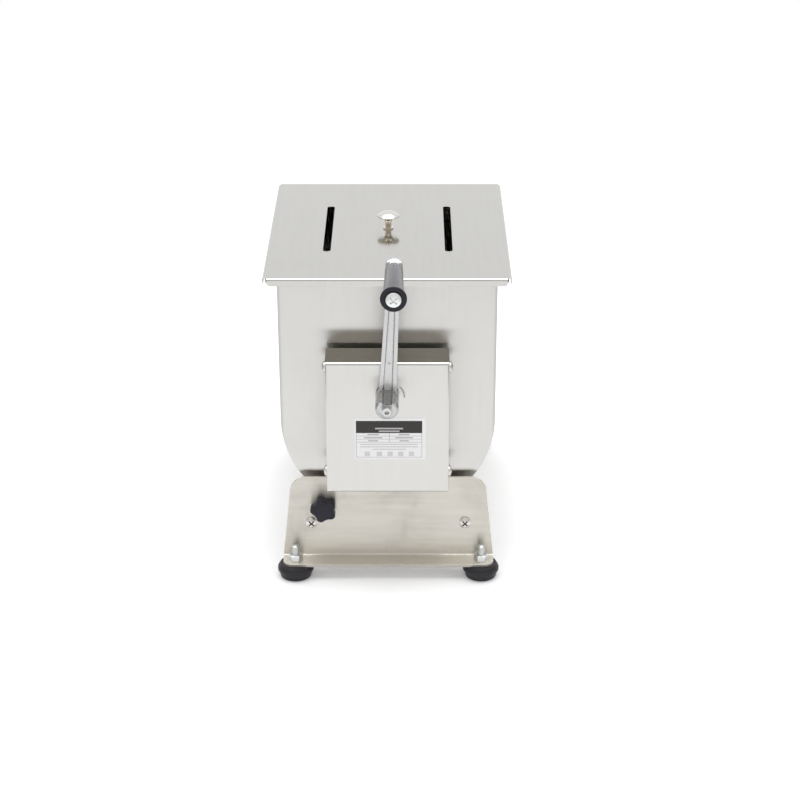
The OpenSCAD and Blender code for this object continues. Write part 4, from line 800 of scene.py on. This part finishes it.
def label_print(name, paper, ink, low, high):
    """Blank printed label: dark shapes on white, and two pale bars in the dark band."""
    nodes = Finish(name, paper, 0.0)
    spot = nodes.parts(nodes.here())
    across = nodes.remap(spot["X"], (low[0], high[0]), curve="LINEAR")
    up = nodes.remap(spot["Z"], (low[2], high[2]), curve="LINEAR")

    def patch(left, right, bottom, top):
        """1 inside a rectangle of the label, 0 outside."""
        sides = [("GREATER_THAN", across, left), ("LESS_THAN", across, right), ("GREATER_THAN", up, bottom),
                 ("LESS_THAN", up, top)]
        return nodes.times(*[nodes.math(*side) for side in sides])

    cover = 0.0
    for shape, weight in label_shapes():
        cover = nodes.math("MAXIMUM", cover, nodes.times(patch(*shape), weight))
    bar_height, bar_share = 0.035, 0.55
    for bottom, inset in ((0.73, 0.29), (0.665, 0.34)):
        bar = patch(inset, 2 * PRINT_MIDDLE - inset, bottom, bottom + bar_height)
        cover = nodes.math("SUBTRACT", cover, nodes.times(bar, bar_share))
    noise = nodes.group(fine_skin, Size=0.0009)
    tone = nodes.mix(cover, nodes.mix(noise["Broad"], toned(paper, 0.96), paper), ink)
    rough = nodes.spread(noise["Fine"], 0.36, 0.48)
    return nodes.shade(tone, rough, noise["Fine"], strength=0.03, depth=0.00005)


def dress(material, *names):
    """Puts a material on CAD nodes, in every slot they have."""
    for name in names:
        slots = frame["nodes"][name].material_slots
        if not slots:
            frame["nodes"][name].data.materials.append(material)
        for slot in slots:
            slot.material = material


# Studio, with the spans of view directions that its dim parts take up

FRONT_WIDE = (-0.75, -0.35)
FRONT_LOW = (0.19, 0.31)
FRONT_HIGH = (0.46, 0.60)
SIDE_WIDE = (0.45, 0.70)
SIDE_HIGH = (0.30, 0.55)
CAMERA_SPOT = (0.02, 0.07)


def add_floor(studio):
    """A white floor that keeps the shadow and looks white to the eye and in reflections."""
    mesh = bpy.data.meshes.new("studio_floor")
    x, y = studio.floor_half
    mesh.from_pydata([(-x, -y, 0.0), (x, -y, 0.0), (x, y, 0.0), (-x, y, 0.0)], [], [(0, 1, 2, 3)])
    nodes = Finish("floor_white", studio.floor, 0.0, Roughness=0.9, Specular_IOR_Level=0.0,
                   Emission_Color=WHITE)
    place = nodes.vector("ABSOLUTE", nodes.from_axis((0.0, studio.glow_centre, 0.0)))
    past = nodes.vector("SUBTRACT", place, (*studio.glow_from, 0.0))
    away = nodes.vector("LENGTH", nodes.vector("MAXIMUM", past))
    glow = nodes.remap(away, (0.0, studio.glow_fade), (studio.near_glow, studio.far_glow))
    path = nodes.add("LightPath")
    mirrored = nodes.math("MAXIMUM", path["Is Glossy Ray"], path["Is Transmission Ray"])
    mirrored = nodes.times(mirrored, studio.mirror_glow)
    nodes.fill(Emission_Strength=nodes.math("MULTIPLY_ADD", path["Is Camera Ray"], glow, mirrored))
    mesh.materials.append(nodes.material)
    floor = place_object("studio_floor", mesh)


def add_surroundings(studio):
    """White all round, with dim sides, a dim wall behind the camera and the dark camera, which only
    reflections see."""
    world = bpy.data.worlds.new("white_studio")
    bpy.context.scene.world = world
    world.use_nodes = True
    nodes = Nodes(world.node_tree)
    look = nodes.add("TexCoord")["Generated"]
    way = nodes.parts(look)
    path = nodes.add("LightPath")
    mirrored = path["Is Glossy Ray"]
    sides = nodes.times(nodes.remap(nodes.math("ABSOLUTE", way["X"]), SIDE_WIDE),
                        nodes.remap(way["Z"], SIDE_HIGH, FALLING), mirrored)
    front = nodes.times(nodes.remap(way["Y"], FRONT_WIDE, FALLING), nodes.remap(way["Z"], FRONT_LOW),
                        nodes.remap(way["Z"], FRONT_HIGH, FALLING), mirrored)
    camera = (0.0, -math.cos(studio.pitch), math.sin(studio.pitch))
    off = nodes.vector("LENGTH", nodes.vector("SUBTRACT", look, camera))
    spot = nodes.times(nodes.remap(off, CAMERA_SPOT, FALLING), mirrored)
    tone = WHITE
    for mask, colour in ((sides, studio.side_walls), (front, studio.front_wall), (spot, studio.dark_spot)):
        tone = nodes.mix(mask, tone, colour)
    seen = nodes.math("MAXIMUM", path["Is Camera Ray"], mirrored)
    seen = nodes.math("MAXIMUM", seen, path["Is Transmission Ray"])
    back = world.node_tree.nodes["Background"].inputs
    nodes.put(back["Color"], tone)
    nodes.put(back["Strength"], nodes.remap(seen, (0.0, 1.0), (studio.fill, 1.0), curve="LINEAR"))


def add_softbox(studio):
    """A rectangular lamp overhead that looks straight down."""
    light = bpy.data.lights.new("overhead_softbox", "AREA")
    light.shape = "RECTANGLE"
    light.size, light.size_y = studio.lamp_size
    light.energy = studio.lamp_power
    place_object("overhead_softbox", light, studio.lamp_place)


def add_camera(studio):
    """A camera at the photograph's place and angle."""
    data = bpy.data.cameras.new("studio_camera")
    data.lens = studio.lens
    data.shift_x = studio.shift
    camera = place_object("studio_camera", data, studio.eye)
    camera.rotation_euler = (math.pi / 2 - studio.pitch, 0.0, 0.0)
    bpy.context.scene.camera = camera


# Operators

class MIXER_OT_stage(bpy.types.Operator):
    """Set the white floor, the lamp, the surroundings and the camera"""
    bl_idname = "mixer.stage"
    bl_label = "Studio"

    def execute(self, context):
        studio = settings(context)[2]
        context.scene.view_settings.view_transform = "Standard"
        for add in (add_floor, add_surroundings, add_softbox, add_camera):
            add(studio)
        return {"FINISHED"}


class MIXER_OT_sheet(bpy.types.Operator):
    """Dress the folded sheet pieces in brushed stainless"""
    bl_idname = "mixer.sheet"
    bl_label = "Sheet pieces"

    def execute(self, context):
        sizes, finishes, _ = settings(context)
        # The lid, tub and cover take the sheet colour a little darker or lighter each: painted light and
        # shade.
        lid, tub, cover = (toned(finishes.sheet, share) for share in (0.985, 1.015, 1.04))
        dress(brushed_sheet("lid_sheet", lid, X, Z, X, smooth=0.14, stretch=0.3), "lid")
        # The tub's bent sides take a painted dark reflection and its inside faces a painted light.
        bends = [(bent_sides, sizes.tub_half, 0.3, toned(tub, 0.2)),
                 (inner_faces, AXES["tub_tilt"], 1.0, finishes.lining)]
        dress(brushed_sheet("tub_sheet", tub, Y, X, Y, smooth=0.236, stretch=0.87, touches=bends), "tub")
        worn = [(rub_arc, AXES["crank_turn"], 1.0, toned(cover, 0.32))]
        dress(brushed_sheet("cover_sheet", cover, X, Y, X, smooth=0.22, touches=worn), "gearbox_cover")
        # The stands' upward faces take a painted light and their low edges a painted shade.
        feet = [(level_faces, Z, 1.0, toned(finishes.stand, 1.12)),
                (cut_edges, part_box("foot_nuts")[0][2], 1.0, toned(finishes.stand, 0.72))]
        dress(brushed_sheet("stand_plate", finishes.stand, Z, Y, Z, smooth=0.36, marks=0.12, streaks=0.06,
                            touches=feet), "front_stand", "rear_stand")
        return {"FINISHED"}


class MIXER_OT_machined(bpy.types.Operator):
    """Dress the turned and ground steel pieces"""
    bl_idname = "mixer.machined"
    bl_label = "Machined pieces"

    def execute(self, context):
        colour = settings(context)[1].machined
        blades = [f"mixing_blade_{number}" for number in range(1, 5)]
        dress(machined_steel("machined_steel", colour), "tie_rods", "front_trunnion", "rear_trunnion",
              "lock_lug", "drive_shaft", "rear_axle", "cross_pins", "crank_shaft", "gear_key", "pinion_key",
              "paddle_tube", *blades)
        return {"FINISHED"}


class MIXER_OT_fasteners(bpy.types.Operator):
    """Dress the zinc-plated screws, nuts, washers and the grip's bolt"""
    bl_idname = "mixer.fasteners"
    bl_label = "Fasteners"

    def execute(self, context):
        sizes, finishes, _ = settings(context)
        zinc = finishes.zinc
        dress(plated("steel_screw", finishes.screw, smooth=0.30, wave=1.0, reach=0.006, grime=1.0),
              "tie_rod_screws", "bridge_screws", "cover_screws")
        dress(plated("zinc_plate", zinc, smooth=0.32, wave=1.0), "cover_weld_nuts", "lock_weld_nut",
              "lock_washer", "lock_screw", "grip_collar", "lid_knob_nut")
        # The bolt's head past its face takes a painted shadow, as of a dark gap round it.
        painted_gap_shadow = [(past_rim, (AXES["grip_spin"], sizes.bolt_face / 2), 1.0, toned(zinc, 0.03))]
        dress(plated("zinc_bolt", zinc, smooth=0.42, wave=2.0, grime=0.08, touches=painted_gap_shadow), "grip_bolt")
        return {"FINISHED"}


class MIXER_OT_crank(bpy.types.Operator):
    """Dress the bright cast crank"""
    bl_idname = "mixer.crank"
    bl_label = "Crank"

    def execute(self, context):
        colour = settings(context)[1].casting
        arm = AXES["crank_turn"], AXES["grip_spin"]
        dark = toned(colour, 0.2)
        # The rings are the turned face's marks; the swirl is a painted reflection and the root a painted
        # shade.
        touches = [(turned_rings, arm[0], 0.14, dark), (turned_swirl, arm[0], 1.0, dark),
                   (arm_root, arm, 0.55, dark)]
        dress(plated("crank_plate", colour, smooth=0.26, wave=4.0, radius=0.0007, reach=0.003, grime=0.38,
                     touches=touches, arm=arm), "crank_arm", "crank_washer")
        dress(plated("crank_screw", toned(colour, 1.1), smooth=0.34, wave=2.0, grime=0.1), "crank_screw")
        return {"FINISHED"}


class MIXER_OT_lid_knob(bpy.types.Operator):
    """Dress the polished knob of the lid and its washer"""
    bl_idname = "mixer.lid_knob"
    bl_label = "Lid knob"

    def execute(self, context):
        finishes = settings(context)[1]
        under = finishes.knob_under
        # The knob's sideways faces take a warm tint, its downward faces a warm tint with painted shade.
        touches = [(under_faces, NOT_UP, 1.0, toned(under, 1.65)), (under_faces, DOWN, 1.0, under)]
        dress(plated("polished_knob", finishes.polished, smooth=0.08, wave=0.5, grime=0.15,
                     touches=touches), "lid_knob", "lid_knob_washer")
        return {"FINISHED"}


class MIXER_OT_gearbox(bpy.types.Operator):
    """Dress the gears, bushes and rings"""
    bl_idname = "mixer.gearbox"
    bl_label = "Gears and bushes"

    def execute(self, context):
        finishes = settings(context)[1]
        dress(oiled_gear("oiled_steel", finishes.gear), "drive_gear", "pinion_gear", "bearing_bridge",
              "drive_ring", "crank_ring")
        dress(soft_plain("sintered_bronze", finishes.bronze, metallic=1.0, rough=0.38),
              "crank_rear_bush", "crank_front_bush", "drive_bush")
        dress(soft_plain("white_plastic", finishes.white_plastic, metallic=0.0, rough=0.42),
              "front_pivot_bush", "rear_pivot_bush", "front_shaft_bush", "rear_shaft_bush")
        return {"FINISHED"}


class MIXER_OT_feet(bpy.types.Operator):
    """Turn the four rubber feet"""
    bl_idname = "mixer.feet"
    bl_label = "Feet"

    def execute(self, context):
        sizes, finishes, _ = settings(context)
        _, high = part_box("rubber_feet")
        stud_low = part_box("foot_studs")[0][2]
        belt, bore = high[0] - FEET_OUT, sizes.stud_bore / 2
        belt_low = sizes.waist_height + sizes.belt_rise
        edges = [(sizes.foot_base / 2, 0.0), (sizes.foot_waist / 2, sizes.waist_height), (belt, belt_low),
                 (belt, belt_low + sizes.foot_belt), (sizes.foot_top / 2, high[2])]
        profile = rounded([
            (0.0, 0.0, 0.0), *[(*edge, soft) for edge, soft in zip(edges, sizes.foot_rounds)],
            (bore, high[2], 0.0), (bore, stud_low, 0.0), (0.0, stud_low, 0.0)])
        points, quads = at_feet(*turned(profile))
        rubber = moulded("black_rubber", finishes.rubber, rough=0.42, skin=0.0009)
        make_piece("foot_rubbers", points, quads, rubber, "base", "black_rubber", ["rubber_feet"])
        return {"FINISHED"}


class MIXER_OT_studs(bpy.types.Operator):
    """Cut the threads of the foot studs and chamfer their nuts"""
    bl_idname = "mixer.studs"
    bl_label = "Studs and nuts"

    def execute(self, context):
        sizes, finishes, _ = settings(context)
        colour = toned(finishes.zinc, 0.88)
        zinc = plated("zinc_thread", colour, smooth=0.28, wave=1.0, reach=0.0008, grime=0.5)
        low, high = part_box("foot_studs")
        rod = threaded(high[0] - FEET_OUT, low[2], high[2], sizes.thread_pitch, sizes.thread_depth,
                       sizes.stud_dome)
        make_piece("stud_threads", *at_feet(*rod), zinc, "base", "zinc_hardware", ["foot_studs"],
                   sharp=50.0)
        low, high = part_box("foot_nuts")
        flat = (high[0] - FEET_OUT) * math.cos(math.pi / 6)
        nut = hex_nut(flat, low[2], high[2], sizes.stud_bore / 2)
        make_piece("nut_bodies", *at_feet(*nut), zinc, "base", "zinc_hardware", ["foot_nuts"], sharp=20.0)
        return {"FINISHED"}


class MIXER_OT_grip(bpy.types.Operator):
    """Turn the black grip"""
    bl_idname = "mixer.grip"
    bl_label = "Grip"

    def execute(self, context):
        sizes, finishes, _ = settings(context)
        low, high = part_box("grip")
        length, disc = high[1] - low[1], (high[0] - low[0]) / 2
        disc_at, seat_at = length - sizes.grip_disc, length - sizes.seat_depth
        bore, seat, soft = sizes.grip_bore / 2, sizes.grip_seat / 2, sizes.edge_round
        profile = rounded([
            (bore, 0.0, 0.0), (sizes.grip_slim / 2, 0.0, soft),
            (sizes.grip_wide / 2, disc_at - sizes.grip_flare, sizes.flare_round),
            (disc - soft, disc_at, soft / 2), (disc, disc_at + soft, soft), (disc, length, soft),
            (seat, length, soft / 4), (seat, seat_at, 0.0), (bore, seat_at, 0.0), (bore, 0.0, 0.0)])
        points, quads = turned(profile)
        place = ((low[0] + high[0]) / 2, high[1], (low[2] + high[2]) / 2)
        black = moulded("black_grip", finishes.black_plastic, rough=0.30, lengthwise=True, gloss=0.75)
        points = towards_front(points, place)
        make_piece("grip_body", points, quads, black, "grip", "black_plastic", ["grip"])
        return {"FINISHED"}


class MIXER_OT_star(bpy.types.Operator):
    """Mould the star knob of the tub's lock"""
    bl_idname = "mixer.star"
    bl_label = "Star knob"

    def execute(self, context):
        sizes, finishes, _ = settings(context)
        low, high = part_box("star_knob")
        points, quads = star_knob(sizes, high[1] - low[1])
        axis = AXES["lock_turn"]
        black = moulded("black_knob", finishes.black_plastic, rough=0.46)
        points = towards_front(points, (axis[0], high[1], axis[2]))
        make_piece("star_body", points, quads, black, "lock_knob", "black_plastic", ["star_knob"])
        return {"FINISHED"}


class MIXER_OT_label(bpy.types.Operator):
    """Lay a blank printed label on the front of the cover"""
    bl_idname = "mixer.label"
    bl_label = "Blank label"

    def execute(self, context):
        sizes, finishes, _ = settings(context)
        low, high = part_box("gearbox_cover")
        front, bottom = low[1], low[2] + sizes.label_lift
        left = (low[0] + high[0]) / 2 + sizes.label_shift - sizes.label_width / 2
        corner = np.array([left, front - sizes.label_film, bottom])
        far = np.array([left + sizes.label_width, front, bottom + sizes.label_height])
        paper = label_print("label_print", finishes.paper, finishes.ink, corner, far)
        points, quads = rounded_sheet(corner, far, sizes.label_corner)
        make_piece("blank_label", points, quads, paper, "base", "white_plastic")
        return {"FINISHED"}


class MIXER_PT_panel(bpy.types.Panel):
    """The mixer's operators and properties"""
    bl_label = "Meat mixer"
    bl_space_type = "VIEW_3D"
    bl_region_type = "UI"
    bl_category = "Mixer"

    def draw(self, context):
        for operator in OPERATORS:
            self.layout.operator(operator.bl_idname)
        for group in settings(context):
            for key in group.__annotations__:
                self.layout.prop(group, key)


GROUPS = {"mixer_sizes": MixerSizes, "mixer_finishes": MixerFinishes, "mixer_studio": MixerStudio}
OPERATORS = (MIXER_OT_stage, MIXER_OT_sheet, MIXER_OT_machined, MIXER_OT_fasteners, MIXER_OT_crank,
             MIXER_OT_lid_knob, MIXER_OT_gearbox, MIXER_OT_feet, MIXER_OT_studs, MIXER_OT_grip,
             MIXER_OT_star, MIXER_OT_label)
CLASSES = (*GROUPS.values(), *OPERATORS, MIXER_PT_panel)


def register():
    """Registers the classes and hangs the properties on the scene."""
    for item in CLASSES:
        bpy.utils.register_class(item)
    for key, group in GROUPS.items():
        setattr(bpy.types.Scene, key, bpy.props.PointerProperty(type=group))


def unregister():
    """Takes the properties and classes away again."""
    for key in GROUPS:
        delattr(bpy.types.Scene, key)
    for item in reversed(CLASSES):
        bpy.utils.unregister_class(item)


def main():
    """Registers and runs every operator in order."""
    register()
    for operator in OPERATORS:
        getattr(bpy.ops.mixer, operator.bl_idname.partition(".")[2])()


if __name__ == "__main__":
    main()
